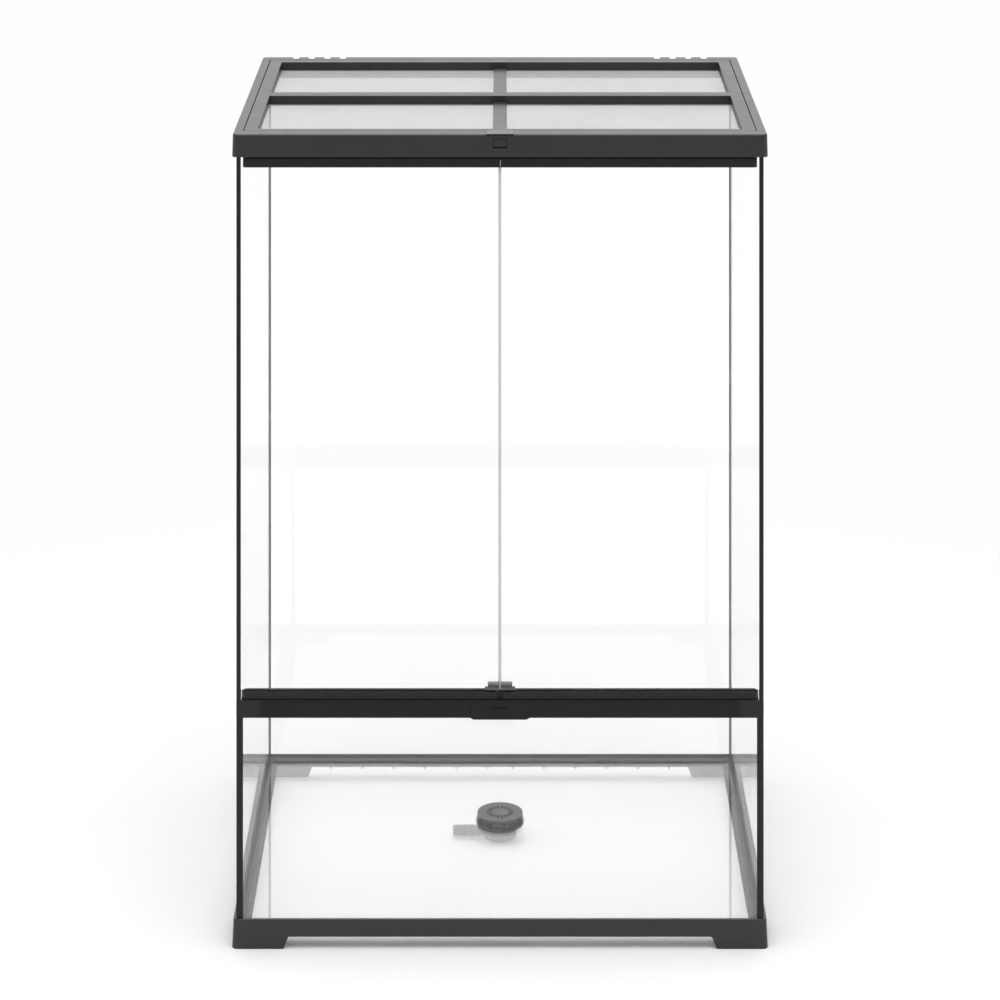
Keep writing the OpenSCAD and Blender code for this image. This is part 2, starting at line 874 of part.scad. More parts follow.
module left_lock_keeper() {
    mirror([1, 0, 0])
        lock_keeper();
}

module right_lock_keeper() {
    lock_keeper();
}

// The two steel pins of one door, one under it and one over it
module hinge_pins() {
    color([0.75, 0.75, 0.76])
        translate([hinge_x, hinge_y, 0]) {
            translate([0, 0, door_low - door_gap_low - hinge_pin_l + 1])
                cylinder(h = hinge_pin_l - 1 + door_gap_low + 3, d = hinge_pin_d);
            translate([0, 0, door_high - pin_grip])
                cylinder(h = pin_grip + door_gap_high + hinge_pin_l - 1, d = hinge_pin_d);
        }
}

module left_hinge_pins() {
    mirror([1, 0, 0])
        hinge_pins();
}

module right_hinge_pins() {
    hinge_pins();
}

// Section of a finger pull, in Y and Z: a foot on the glass and a hollowed lip
module pull_section() {
    back = door_glass_y;
    top = pull_z + pull_h;
    polygon([
        [back, pull_z], [back, top], [back - pull_reach, top - 0.8],
        [back - pull_reach, top - 2.6], [back - pull_reach * 0.6, top - 3.4],
        [back - 2, top - 5], [back - 2, pull_z]
    ]);
}

module door_pull() {
    color([0.3, 0.3, 0.31]) {
        translate([pull_x + (pull_w - 3.3) / 2, 0, 0])
            along_x(pull_w - 3.3)
                pull_section();
        block([pull_x, pull_x + pull_w], [door_glass_y - 2.4, door_glass_y],
              [pull_z, pull_z + 3.6]);
    }
}

module left_door_pull() {
    mirror([1, 0, 0])
        door_pull();
}

module right_door_pull() {
    door_pull();
}

// Clear strip on the left door that closes the gap between the doors
module door_seal() {
    half = door_split / 2;
    color([0.75, 0.75, 0.75, 0.6])
        block([-half, half - 0.4], [door_glass_y + 0.4, door_glass_y + door_glass_t - 0.4],
              [lip_z, door_high - top_rail_h - 0.3]);
}

// U-shaped notch for a tube, open to the rear, centred on X = 0
module inlet_cut(l, z0, z1) {
    r = inlet_corner;
    y0 = half_d - l;
    block([-inlet_w / 2, inlet_w / 2], [y0 + r, half_d + 1], [z0, z1]);
    block([-inlet_w / 2 + r, inlet_w / 2 - r], [y0, half_d + 1], [z0, z1]);
    for (sx = [-1, 1])
        translate([sx * (inlet_w / 2 - r), y0 + r, z0])
            cylinder(h = z1 - z0, r = r);
}

// The whole moulding on top, before it is parted into frame, seat and inlet combs
module top_body() {
    boss_d = hinge_pin_d + 2 * bush_wall + 4;
    color([0.2, 0.2, 0.21])
        difference() {
            union() {
                tapered_wall(skirt_z, tank_h, 0, skirt_taper, top_edge_r);
                // top strip and the wall round the cover
                difference() {
                    block([-half_w + wall_in - 1, half_w - wall_in + 1],
                          [-half_d + wall_in - 1, half_d - wall_in + 1],
                          [tank_h - top_t, tank_h]);
                    block([-strip_x, strip_x], [strip_y0, strip_y1], [0, tank_h + 1]);
                }
                difference() {
                    block([-strip_x - rebate_t, strip_x + rebate_t],
                          [strip_y0 - rebate_t, strip_y1 + rebate_t],
                          [pane_top, tank_h]);
                    block([-strip_x, strip_x], [strip_y0, strip_y1], [0, tank_h + 1]);
                }
                // ledge under the cover
                difference() {
                    block([-strip_x - eps, strip_x + eps], [strip_y0 - eps, strip_y1 + eps],
                          [pane_top, seat_z]);
                    block([-strip_x + cover_ledge, strip_x - cover_ledge],
                          [strip_y0 + cover_ledge - 2, strip_y1 - cover_ledge], [0, tank_h]);
                }
                // ribs between the outer wall and the wall round the cover
                for (x = rib_places(half_w - ledge_w)) {
                    block([x - rib_t / 2, x + rib_t / 2],
                          [front_y + wall_in - 1, strip_y0 - rebate_t + 1], [pane_top, tank_h - 1]);
                }
                for (x = rib_places(comb_x0))
                    block([x - rib_t / 2, x + rib_t / 2],
                          [strip_y1 + rebate_t - 1, half_d - wall_in + 1], [pane_top, tank_h - 1]);
                for (y = rib_places(half_d - ledge_w), side = [0, 1])
                    mirror([side, 0, 0])
                        block([strip_x + rebate_t - 1, half_w - wall_in + 1],
                              [y - rib_t / 2, y + rib_t / 2], [pane_top, tank_h - 1]);
                // runners that carry the inlet shutters
                both_sides()
                    block([comb_x0, comb_x1],
                          [seat_y1 - 0.5, shutter_y0 + runner_t],
                          [shutter_z - run_gap - runner_t, shutter_z - run_gap]);
                both_sides()
                    block([comb_x0, comb_x1],
                          [shutter_y1 - runner_t, half_d - wall_in + 1],
                          [shutter_z - run_gap - runner_t, shutter_z - run_gap]);
                // end walls that tie the runners to the strip above
                both_sides()
                    for (x = [comb_x0, comb_x1 - runner_t])
                        block([x, x + runner_t], [seat_y1 - 0.5, half_d - wall_in + 1],
                              [shutter_z - run_gap - runner_t, tank_h - 1]);
                // lip inside the side panes and stop behind the doors
                both_sides()
                    block([inner_x - lip_reach, inner_x - pane_gap], [strip_y0, strip_y1],
                          [skirt_z, pane_top + eps]);
                block([-inner_x + lip_reach, inner_x - lip_reach], [seat_y0, rail_back_y],
                      [skirt_z - stop_h, pane_top + eps]);
                both_sides()
                    translate([hinge_x, hinge_y, skirt_z])
                        cylinder(h = skirt_h - 1, d = boss_d);
                both_sides()
                    block([hinge_x - rib_t / 2, hinge_x + rib_t / 2],
                          [front_y + wall_in - 1, strip_y0 - rebate_t + 1], [pane_top, tank_h - 1]);
            }
            both_sides()
                translate([hinge_x, hinge_y, skirt_z - 1])
                    cylinder(h = hinge_pin_l + 2, d = hinge_pin_d + 2 * bush_wall + 2 * pin_gap);
            both_sides()
                for (x = inlet_x)
                    translate([x, 0, 0])
                        inlet_cut(inlet_l, pane_top + 2, tank_h + 1);
            // slots for the shutters' thumb tabs in the rear wall
            both_sides()
                block([shutter_end - tab_w - run_gap, shutter_end + shutter_travel + run_gap],
                      [half_d - wall_in - 1, half_d + 1],
                      [shutter_z - run_gap, shutter_z + shutter_t + run_gap]);
            // seat of the cover latch: tab recess, stem slot, pocket and window
            block([-latch_w / 2 - run_gap, latch_w / 2 + run_gap],
                  [front_y - 1, strip_y0 + rebate_t], [tank_h - latch_t - run_gap, tank_h + 1]);
            block([-latch_window_w / 2 - 1, latch_window_w / 2 + 1],
                  [front_y + nose_wall + 1, strip_y0 + 1], [seat_z + 1, tank_h + 1]);
            block([-latch_window_w / 2, latch_window_w / 2], [front_y - 1, front_y + window_in],
                  [tank_h - latch_window_drop - latch_window_h, tank_h - latch_window_drop]);
        }
}

module seat_region(grow) {
    block([-strip_x - rebate_t, strip_x + rebate_t], [seat_y0, seat_y1],
          [skirt_z - stop_h - grow, tank_h - top_t]);
}

module comb_region(grow) {
    block([comb_x0, comb_x1], [seat_y1, half_d + grow], [pane_top, tank_h + grow]);
}

module top_frame() {
    color([0.2, 0.2, 0.21])
        difference() {
            top_body();
            seat_region(1);
            both_sides()
                comb_region(1);
        }
}

// Seat of the screen cover: the wall round it, its ledge, the lips and the doors' stop
module cover_seat() {
    color([0.22, 0.22, 0.23])
        intersection() {
            top_body();
            seat_region(1);
        }
}

// Notched insert at the rear that the tubes pass, with the shutter's runners
module inlet_comb() {
    color([0.22, 0.22, 0.23])
        intersection() {
            top_body();
            comb_region(1);
        }
}

module left_inlet_comb() {
    mirror([1, 0, 0])
        inlet_comb();
}

module right_inlet_comb() {
    inlet_comb();
}

// Sliding shutter under the inlets of one side, with the same notches as they have
module inlet_shutter() {
    color([0.15, 0.15, 0.16]) {
        difference() {
            block([inlet_mid - shutter_l / 2, shutter_end],
                  [shutter_y0, shutter_y1], [shutter_z, shutter_z + shutter_t]);
            for (x = inlet_x)
                translate([x, 0, 0])
                    inlet_cut(inlet_l, shutter_z - 1, shutter_z + shutter_t + 1);
        }
        block([shutter_end - tab_w, shutter_end], [shutter_y1 - 2, half_d - skirt_taper - 0.5],
              [shutter_z, shutter_z + shutter_t]);
    }
}

module left_inlet_shutter() {
    mirror([1, 0, 0])
        inlet_shutter();
}

module right_inlet_shutter() {
    inlet_shutter();
}

// Channel of the cover, open below: ring and cross bar share this outline in plan
module cover_plan() {
    difference() {
        square_of([-cover_x, cover_x], [cover_y0, cover_y1]);
        square_of([-window_x, window_x],
                  [window_y0, cross_y - cross_w / 2]);
        square_of([-window_x, window_x],
                  [cross_y + cross_w / 2, window_y1]);
    }
}

module square_of(x, y) {
    translate([x[0], y[0]])
        square([x[1] - x[0], y[1] - y[0]]);
}

module cover_channel_plan() {
    shrink = cover_wall;
    difference() {
        square_of([-cover_x + shrink, cover_x - shrink], [cover_y0 + shrink, cover_y1 - shrink]);
        square_of([-window_x - shrink, window_x + shrink],
                  [window_y0 - shrink, cross_y - cross_w / 2 + shrink]);
        square_of([-window_x - shrink, window_x + shrink],
                  [cross_y + cross_w / 2 - shrink, window_y1 + shrink]);
    }
}

module cover_frame() {
    color([0.2, 0.2, 0.21])
        difference() {
            translate([0, 0, bar_z])
                linear_extrude(height = tank_h - bar_z)
                    cover_plan();
            translate([0, 0, bar_z - 1])
                linear_extrude(height = tank_h - top_t - bar_z + 1)
                    cover_channel_plan();
            block([-latch_w / 2 - run_gap, latch_w / 2 + run_gap],
                  [cover_y0 - 1, cover_y0 + cover_wall + 3.5], [tank_h - latch_t - run_gap, tank_h + 1]);
            block([-centre_w / 4, centre_w / 4], [cross_y - cross_w / 2 - 1, cross_y - cross_w / 2 + 1],
                  [centre_z, centre_z + 3]);
            block([-centre_w / 4, centre_w / 4], [window_y1 - 1, window_y1 + 1],
                  [centre_z, centre_z + 3]);
        }
}

module cover_centre_bars() {
    color([0.2, 0.2, 0.21]) {
        block([-centre_w / 2, centre_w / 2], [window_y0, cross_y - cross_w / 2], [bar_z, centre_z]);
        block([-centre_w / 2, centre_w / 2], [cross_y + cross_w / 2, window_y1], [bar_z, centre_z]);
    }
}

// Snap clip at the rear end of a centre bar: a plate with a tongue into the frame
module cover_clip(y) {
    block([-centre_w / 2, centre_w / 2], [y - clip_t, y], [centre_z, centre_z + clip_h]);
    block([-centre_w / 4 + tongue_gap, centre_w / 4 - tongue_gap], [y - 1, y + tongue_out],
          [centre_z, centre_z + tongue_h]);
}

module cover_clips() {
    color([0.17, 0.17, 0.18]) {
        cover_clip(cross_y - cross_w / 2);
        cover_clip(window_y1);
    }
}

// Net of straight strands, held between the cover frame and its retainer
module cover_screen() {
    x_end = cover_x - screen_inset;
    y_low = cover_y0 + screen_inset;
    y_high = cover_y1 - screen_inset;
    x_step = (2 * x_end - strand_w) / (screen_columns - 1);
    y_step = (y_high - y_low - strand_w) / (screen_rows - 1);
    color([0.8, 0.8, 0.8])
        translate([0, 0, screen_z])
            linear_extrude(height = screen_t)
                union() {
                    for (i = [0:screen_columns - 1])
                        translate([-x_end + i * x_step, y_low])
                            square([strand_w, y_high - y_low]);
                    for (i = [0:screen_rows - 1])
                        translate([-x_end, y_low + i * y_step])
                            square([2 * x_end, strand_w]);
                }
}

// Ring that holds the screen's rim up against the cover
module screen_retainer() {
    color([0.14, 0.14, 0.15])
        difference() {
            block([-cover_x + 1, cover_x - 1], [cover_y0 + 1, cover_y1 - 1],
                  [seat_z + run_gap, screen_z]);
            block([-cover_x + retainer_w, cover_x - retainer_w],
                  [cover_y0 + retainer_w, cover_y1 - retainer_w], [0, tank_h]);
        }
}

// Bar that holds the screen's middle, set between the ring's sides
module retainer_cross_bar() {
    color([0.14, 0.14, 0.15])
        block([-cover_x + retainer_w, cover_x - retainer_w],
              [cross_y - retainer_w / 2, cross_y + retainer_w / 2],
              [seat_z + run_gap, screen_z]);
}

// Latch of the cover: a finger tab, a stem and a nose behind the window
module cover_latch() {
    tab_y = front_y + 2.4;
    nose_y = front_y + nose_wall + 1 + run_gap;
    nose_z = tank_h - latch_window_drop - latch_window_h + 1;
    color([0.18, 0.18, 0.19]) {
        block([-latch_w / 2, latch_w / 2], [tab_y, cover_y0 + cover_wall + 3], [tank_h - latch_t, tank_h]);
        block([-latch_window_w / 2 + run_gap, latch_window_w / 2 - run_gap],
              [nose_y + 2, nose_y + 4], [nose_z, tank_h - latch_t + eps]);
        block([-latch_window_w / 2 + run_gap, latch_window_w / 2 - run_gap],
              [nose_y, nose_y + 3], [nose_z, tank_h - latch_window_drop - 1]);
    }
}

module drain_strainer() {
    slot_in = neck_d / 2 - 7;
    slot_out = neck_d / 2 - 0.6;
    neck_low = ledge_top - 3;
    color([0.36, 0.34, 0.32])
        translate([0, drain_back, 0])
            difference() {
                union() {
                    translate([0, 0, disc_z])
                        cylinder(h = strainer_t, d = strainer_d);
                    translate([0, 0, neck_low])
                        cylinder(h = disc_z - neck_low + eps, d = neck_d);
                    translate([0, 0, tip_z])
                        cylinder(h = neck_low - tip_z, d1 = neck_d - neck_draw, d2 = neck_d);
                    for (i = [0:foot_count - 1])
                        rotate([0, 0, (i + 0.5) * 360 / foot_count])
                            translate([strainer_d / 2 - 4.2, -2.2, floor_top + run_gap])
                                cube([3.6, 4.4, strainer_foot + 1]);
                }
                translate([0, 0, tip_z - 1])
                    cylinder(h = disc_z - tip_z + 1, d = neck_d - neck_draw - 2 * neck_wall);
                for (i = [0:slot_count - 1])
                    rotate([0, 0, i * 360 / slot_count])
                        translate([slot_in, -1.3, disc_z - 6])
                            cube([slot_out - slot_in, 2.6, strainer_t + 7]);
                for (i = [0:5])
                    rotate([0, 0, i * 60 + 30])
                        translate([0, -3.6, ledge_top + 1])
                            cube([neck_d, 7.2, disc_z - ledge_top - 2.2]);
            }
}

module drain_o_ring() {
    color([0.08, 0.08, 0.08])
        translate([0, drain_back, ledge_top - o_ring_t / 2])
            rotate_extrude()
                translate([o_ring_d / 2 - o_ring_t / 2, 0])
                    circle(d = o_ring_t);
}

module drain_body() {
    cup_r = cup_d / 2;
    groove_in = o_ring_d / 2 - o_ring_t - 0.2;
    groove_out = o_ring_d / 2 + 0.2;
    bevel = 1.5;
    land_l = 12;
    barbs = 3;
    barb_l = (spigot_reach - cup_r - land_l) / barbs;
    color([0.34, 0.32, 0.3])
        translate([0, drain_back, 0])
            difference() {
                union() {
                    // flange and cup, one revolved wall
                    rotate_extrude()
                        polygon([
                            [0, cup_clear], [cup_r - bevel, cup_clear], [cup_r, cup_clear + bevel],
                            [cup_r, flange_z], [flange_d / 2 - 1, flange_z],
                            [flange_d / 2, flange_z + 1], [flange_d / 2, ledge_top],
                            [groove_out, ledge_top], [groove_out, ledge_top - o_ring_t],
                            [groove_in, ledge_top - o_ring_t], [groove_in, ledge_top],
                            [0, ledge_top]
                        ]);
                    translate([-cup_r - land_l, 0, spigot_z])
                        rotate([0, 90, 0])
                            cylinder(h = land_l + 6, d = spigot_d);
                    for (i = [0:barbs - 1])
                        translate([-cup_r - land_l - (i + 1) * barb_l, 0, spigot_z])
                            rotate([0, 90, 0])
                                cylinder(h = barb_l, d1 = spigot_d - 0.6, d2 = spigot_d + 2 * barb_h);
                    translate([-spigot_reach + 1, 0, spigot_z])
                        rotate([0, 90, 0])
                            cylinder(h = spigot_reach - cup_r, d = spigot_d - 1);
                }
                translate([0, 0, cup_clear + cup_wall])
                    cylinder(h = ledge_top, d = cup_d - 2 * cup_wall);
                translate([-spigot_reach - 1, 0, spigot_z])
                    rotate([0, 90, 0])
                        cylinder(h = spigot_reach, d = spigot_bore);
            }
}

base_frame();
floor_pane();
left_side_pane();
right_side_pane();
rear_pane();
front_sill_pane();
floor_sealant();
rear_corner_sealant();
front_corner_sealant();
left_edge_trim();
right_edge_trim();
front_rail();
rail_strip();
lock_plate();
lock_knob();
lock_crank();
lock_bolt();
lower_hinge_bushes();
upper_hinge_bushes();
left_door_pane();
right_door_pane();
left_door_top_rail();
right_door_top_rail();
left_door_bottom_rail();
right_door_bottom_rail();
left_lock_keeper();
right_lock_keeper();
left_hinge_pins();
right_hinge_pins();
left_door_pull();
right_door_pull();
door_seal();
top_frame();
cover_seat();
left_inlet_comb();
right_inlet_comb();
left_inlet_shutter();
right_inlet_shutter();
cover_frame();
cover_centre_bars();
cover_clips();
cover_screen();
screen_retainer();
retainer_cross_bar();
cover_latch();
drain_strainer();
drain_o_ring();
drain_body();
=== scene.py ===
"""Looks of a tall, front-opening reptile terrarium.

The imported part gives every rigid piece. This script adds the fine wire screen,
the hand-laid sealant beads and a soft tip between the door rails, gives each
piece its finish, and sets up a white studio with a camera that stands where the
product picture was taken.
"""

from __future__ import annotations

import json
import logging
import math
from dataclasses import dataclass, field
from enum import Enum

import bpy
import numpy as np
from mathutils import Matrix, Vector
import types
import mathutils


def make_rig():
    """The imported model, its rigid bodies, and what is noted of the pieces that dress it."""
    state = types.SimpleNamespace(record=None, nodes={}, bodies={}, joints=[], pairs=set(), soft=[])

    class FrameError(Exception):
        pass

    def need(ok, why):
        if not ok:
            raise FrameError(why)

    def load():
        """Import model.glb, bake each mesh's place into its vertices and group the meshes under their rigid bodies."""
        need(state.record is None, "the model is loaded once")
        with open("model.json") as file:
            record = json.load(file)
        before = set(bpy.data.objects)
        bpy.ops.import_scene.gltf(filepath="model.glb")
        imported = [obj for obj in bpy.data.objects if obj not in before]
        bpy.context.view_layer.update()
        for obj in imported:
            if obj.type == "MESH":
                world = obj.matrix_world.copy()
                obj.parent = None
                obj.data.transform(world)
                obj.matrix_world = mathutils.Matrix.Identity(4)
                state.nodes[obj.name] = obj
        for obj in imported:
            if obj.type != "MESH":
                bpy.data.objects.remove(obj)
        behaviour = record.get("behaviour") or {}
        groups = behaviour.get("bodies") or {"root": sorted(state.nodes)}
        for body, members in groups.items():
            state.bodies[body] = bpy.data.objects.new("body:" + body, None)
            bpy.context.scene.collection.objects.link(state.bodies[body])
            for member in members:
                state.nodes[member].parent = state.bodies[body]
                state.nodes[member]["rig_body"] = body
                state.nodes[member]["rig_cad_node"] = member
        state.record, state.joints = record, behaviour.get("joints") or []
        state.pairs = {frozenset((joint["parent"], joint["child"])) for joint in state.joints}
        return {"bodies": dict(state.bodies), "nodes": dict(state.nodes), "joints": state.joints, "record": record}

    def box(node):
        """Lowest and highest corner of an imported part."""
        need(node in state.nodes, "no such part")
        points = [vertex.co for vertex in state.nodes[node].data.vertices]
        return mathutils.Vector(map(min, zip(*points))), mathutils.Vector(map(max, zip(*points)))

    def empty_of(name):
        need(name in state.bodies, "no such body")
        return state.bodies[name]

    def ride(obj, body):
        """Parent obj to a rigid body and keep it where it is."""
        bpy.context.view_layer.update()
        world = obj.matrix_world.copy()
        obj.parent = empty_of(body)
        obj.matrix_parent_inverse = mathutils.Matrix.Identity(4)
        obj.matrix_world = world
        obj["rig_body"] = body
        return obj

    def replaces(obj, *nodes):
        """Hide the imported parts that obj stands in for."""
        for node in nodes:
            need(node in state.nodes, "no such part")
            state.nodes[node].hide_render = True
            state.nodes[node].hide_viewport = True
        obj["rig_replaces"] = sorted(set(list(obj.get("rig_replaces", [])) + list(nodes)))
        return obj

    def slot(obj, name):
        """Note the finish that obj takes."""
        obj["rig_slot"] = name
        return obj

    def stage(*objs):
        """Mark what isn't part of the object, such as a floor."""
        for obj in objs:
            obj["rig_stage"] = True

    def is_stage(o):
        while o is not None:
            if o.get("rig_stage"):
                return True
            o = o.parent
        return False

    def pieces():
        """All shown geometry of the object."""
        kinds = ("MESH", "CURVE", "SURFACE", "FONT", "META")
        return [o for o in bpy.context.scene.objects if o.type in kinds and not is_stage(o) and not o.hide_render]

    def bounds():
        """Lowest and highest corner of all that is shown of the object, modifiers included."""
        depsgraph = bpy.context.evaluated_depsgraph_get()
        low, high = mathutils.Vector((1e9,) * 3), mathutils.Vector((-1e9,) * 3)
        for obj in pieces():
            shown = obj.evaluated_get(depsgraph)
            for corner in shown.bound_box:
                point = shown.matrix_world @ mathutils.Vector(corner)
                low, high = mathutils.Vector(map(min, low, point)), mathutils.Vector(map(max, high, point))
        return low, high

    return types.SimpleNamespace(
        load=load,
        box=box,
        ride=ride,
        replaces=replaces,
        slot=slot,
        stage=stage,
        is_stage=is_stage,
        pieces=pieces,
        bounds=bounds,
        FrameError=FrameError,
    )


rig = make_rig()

LOG = logging.getLogger("terrarium")
MM = 0.001

# The noise of a Noise Texture stays for the most part between these values.
NOISE_LOW = 0.3
NOISE_HIGH = 0.7

# Sockets of a Mix node that blends colours: the two inputs and the result.
COLOUR_A = 6
COLOUR_B = 7
COLOUR_RESULT = 2

# Share of the hollow curve in a tooled bead's face; the rest is a straight line.
HOLLOW_SHARE = 0.45

# Waves in a hand-laid bead: radians to a metre, height and start in radians.
BEAD_WAVES = ((61.0, 1.0, 0.0), (147.0, 0.6, 1.3), (23.0, 0.4, 0.4))


class Body(str, Enum):
    """The rigid bodies that new pieces ride on."""

    TANK = "tank"
    LEFT_DOOR = "left_door"
    COVER = "cover"


class Ray(str, Enum):
    """Outputs of the Light Path node that this scene uses."""

    CAMERA = "Is Camera Ray"
    SHADOW = "Is Shadow Ray"
    TRANSMISSION = "Is Transmission Ray"


# --------------------------------------------------------------------------
# Material graphs
# --------------------------------------------------------------------------


class Graph:
    """A material's node tree, with short ways to add and join nodes."""

    def __init__(self, name: str) -> None:
        """Starts an empty material.

        Args:
            name: The material's name.
        """
        self.material = bpy.data.materials.new(name)
        self.material.use_nodes = True
        self.tree = self.material.node_tree
        self.tree.nodes.clear()
        self.output = self.tree.nodes.new("ShaderNodeOutputMaterial")

    def add(self, kind: str, sockets: dict[str, object] | None = None) -> bpy.types.Node:
        """Adds one node.

        Args:
            kind: The node's type name.
            sockets: Values for its inputs, by socket name.

        Returns:
            The new node.
        """
        node = self.tree.nodes.new(kind)
        for name, value in (sockets or {}).items():
            node.inputs[name].default_value = value
        return node

    def join(self, source: bpy.types.NodeSocket, target: bpy.types.NodeSocket) -> None:
        """Links an output to an input."""
        self.tree.links.new(source, target)

    def object_noise(self, size: float, detail: float = 2.0) -> bpy.types.NodeSocket:
        """Adds noise on Object coordinates.

        Args:
            size: Size of one blotch, in metres.
            detail: Octaves of the noise.

        Returns:
            The noise's Fac output.
        """
        place = self.add("ShaderNodeTexCoord")
        noise = self.add("ShaderNodeTexNoise", {"Scale": 1.0 / size, "Detail": detail})
        self.join(place.outputs["Object"], noise.inputs["Vector"])
        return noise.outputs["Fac"]

    def blend_colours(self, share: bpy.types.NodeSocket, low: tuple[float, ...],
                      high: tuple[float, ...]) -> bpy.types.NodeSocket:
        """Blends two colours by a share from 0 to 1.

        Args:
            share: The share of the second colour.
            low: First colour.
            high: Second colour.

        Returns:
            The blended colour.
        """
        mix = self.add("ShaderNodeMix")
        mix.data_type = "RGBA"
        mix.inputs[COLOUR_A].default_value = (*low, 1.0)
        mix.inputs[COLOUR_B].default_value = (*high, 1.0)
        self.join(share, mix.inputs["Factor"])
        return mix.outputs[COLOUR_RESULT]

    def spread(self, value: bpy.types.NodeSocket, low: float, high: float) -> bpy.types.NodeSocket:
        """Maps noise about its middle to a range.

        Args:
            value: The noise.
            low: Result at the noise's usual low.
            high: Result at its usual high.

        Returns:
            The mapped value.
        """
        ranger = self.add("ShaderNodeMapRange", {
            "From Min": NOISE_LOW, "From Max": NOISE_HIGH, "To Min": low, "To Max": high,
        })
        self.join(value, ranger.inputs["Value"])
        return ranger.outputs["Result"]


@dataclass(frozen=True)
class SolidFinish:
    """An opaque finish: plastic, rubber or metal with a fine surface grain."""

    name: str
    shade: tuple[float, float, float]
    roughness: float = 0.4
    metallic: float = 0.0
    mottle: float = 0.05
    mottle_size: float = 0.05
    grain_size: float = 0.0006
    grain_depth: float = 0.00001
    sheen_spread: float = 0.02
    sheen_share: float = 0.4
    sheen_detail: float = 3.0
    specular: float = 0.5

    def build(self) -> bpy.types.Material:
        """Makes the material.

        Returns:
            The material, with colour, gloss and grain from noise on Object
            coordinates.
        """
        graph = Graph(self.name)
        skin = graph.add("ShaderNodeBsdfPrincipled", {
            "Metallic": self.metallic, "Specular IOR Level": self.specular,
        })
        low = tuple(max(0.0, c * (1.0 - self.mottle)) for c in self.shade)
        high = tuple(min(1.0, c * (1.0 + self.mottle)) for c in self.shade)
        blotch = graph.spread(graph.object_noise(self.mottle_size), 0.0, 1.0)
        graph.join(graph.blend_colours(blotch, low, high), skin.inputs["Base Color"])
        gloss = graph.object_noise(self.mottle_size * self.sheen_share, self.sheen_detail)
        graph.join(graph.spread(gloss, self.roughness - self.sheen_spread,
                                self.roughness + self.sheen_spread), skin.inputs["Roughness"])
        bump = graph.add("ShaderNodeBump", {"Strength": 1.0, "Distance": self.grain_depth})
        graph.join(graph.object_noise(self.grain_size), bump.inputs["Height"])
        graph.join(bump.outputs["Normal"], skin.inputs["Normal"])
        graph.join(skin.outputs["BSDF"], graph.output.inputs["Surface"])
        return graph.material


@dataclass(frozen=True)
class GlassFinish:
    """Clear float glass that lets lamps through."""

    name: str = "float_glass"
    tint: tuple[float, float, float] = (0.985, 0.988, 0.987)
    index: float = 1.5
    specular: float = 0.15
    haze: float = 0.005
    haze_size: float = 0.2
    shadow_tint: tuple[float, float, float] = (0.97, 0.98, 0.975)

    def build(self) -> bpy.types.Material:
        """Makes the material.

        Returns:
            Smooth glass, see-through to shadow rays, with a trace of tint that
            varies over the pane.
        """
        graph = Graph(self.name)
        pane = graph.add("ShaderNodeBsdfPrincipled", {
            "Roughness": 0.0, "IOR": self.index, "Transmission Weight": 1.0,
            "Specular IOR Level": self.specular,
        })
        haze = graph.spread(graph.object_noise(self.haze_size), 0.0, 1.0)
        faint = tuple(c * (1.0 - self.haze) for c in self.tint)
        graph.join(graph.blend_colours(haze, faint, self.tint), pane.inputs["Base Color"])
        clear = graph.add("ShaderNodeBsdfTransparent", {"Color": (*self.shadow_tint, 1.0)})
        path = graph.add("ShaderNodeLightPath")
        mix = graph.add("ShaderNodeMixShader")
        graph.join(path.outputs[Ray.SHADOW.value], mix.inputs["Fac"])
        graph.join(pane.outputs["BSDF"], mix.inputs[1])
        graph.join(clear.outputs["BSDF"], mix.inputs[2])
        graph.join(mix.outputs["Shader"], graph.output.inputs["Surface"])
        return graph.material


@dataclass(frozen=True)
class StripFinish:
    """Milky flexible strip that closes the gap between the doors."""

    name: str = "clear_strip"
    shade: tuple[float, float, float] = (0.62, 0.62, 0.62)
    opacity: float = 0.75
    index: float = 1.45
    cloud: float = 0.05
    cloud_size: float = 0.03
    gloss_size: float = 0.01
    roughness: tuple[float, float] = (0.3, 0.45)

    def build(self) -> bpy.types.Material:
        """Makes the material: milky plastic that lets a quarter of the light through."""
        graph = Graph(self.name)
        skin = graph.add("ShaderNodeBsdfPrincipled", {
            "Alpha": self.opacity, "IOR": self.index,
        })
        cloud = graph.spread(graph.object_noise(self.cloud_size), 0.0, 1.0)
        pale = tuple(c * (1.0 + self.cloud) for c in self.shade)
        graph.join(graph.blend_colours(cloud, self.shade, pale), skin.inputs["Base Color"])
        gloss = graph.object_noise(self.gloss_size)
        graph.join(graph.spread(gloss, *self.roughness), skin.inputs["Roughness"])
        graph.join(skin.outputs["BSDF"], graph.output.inputs["Surface"])
        return graph.material


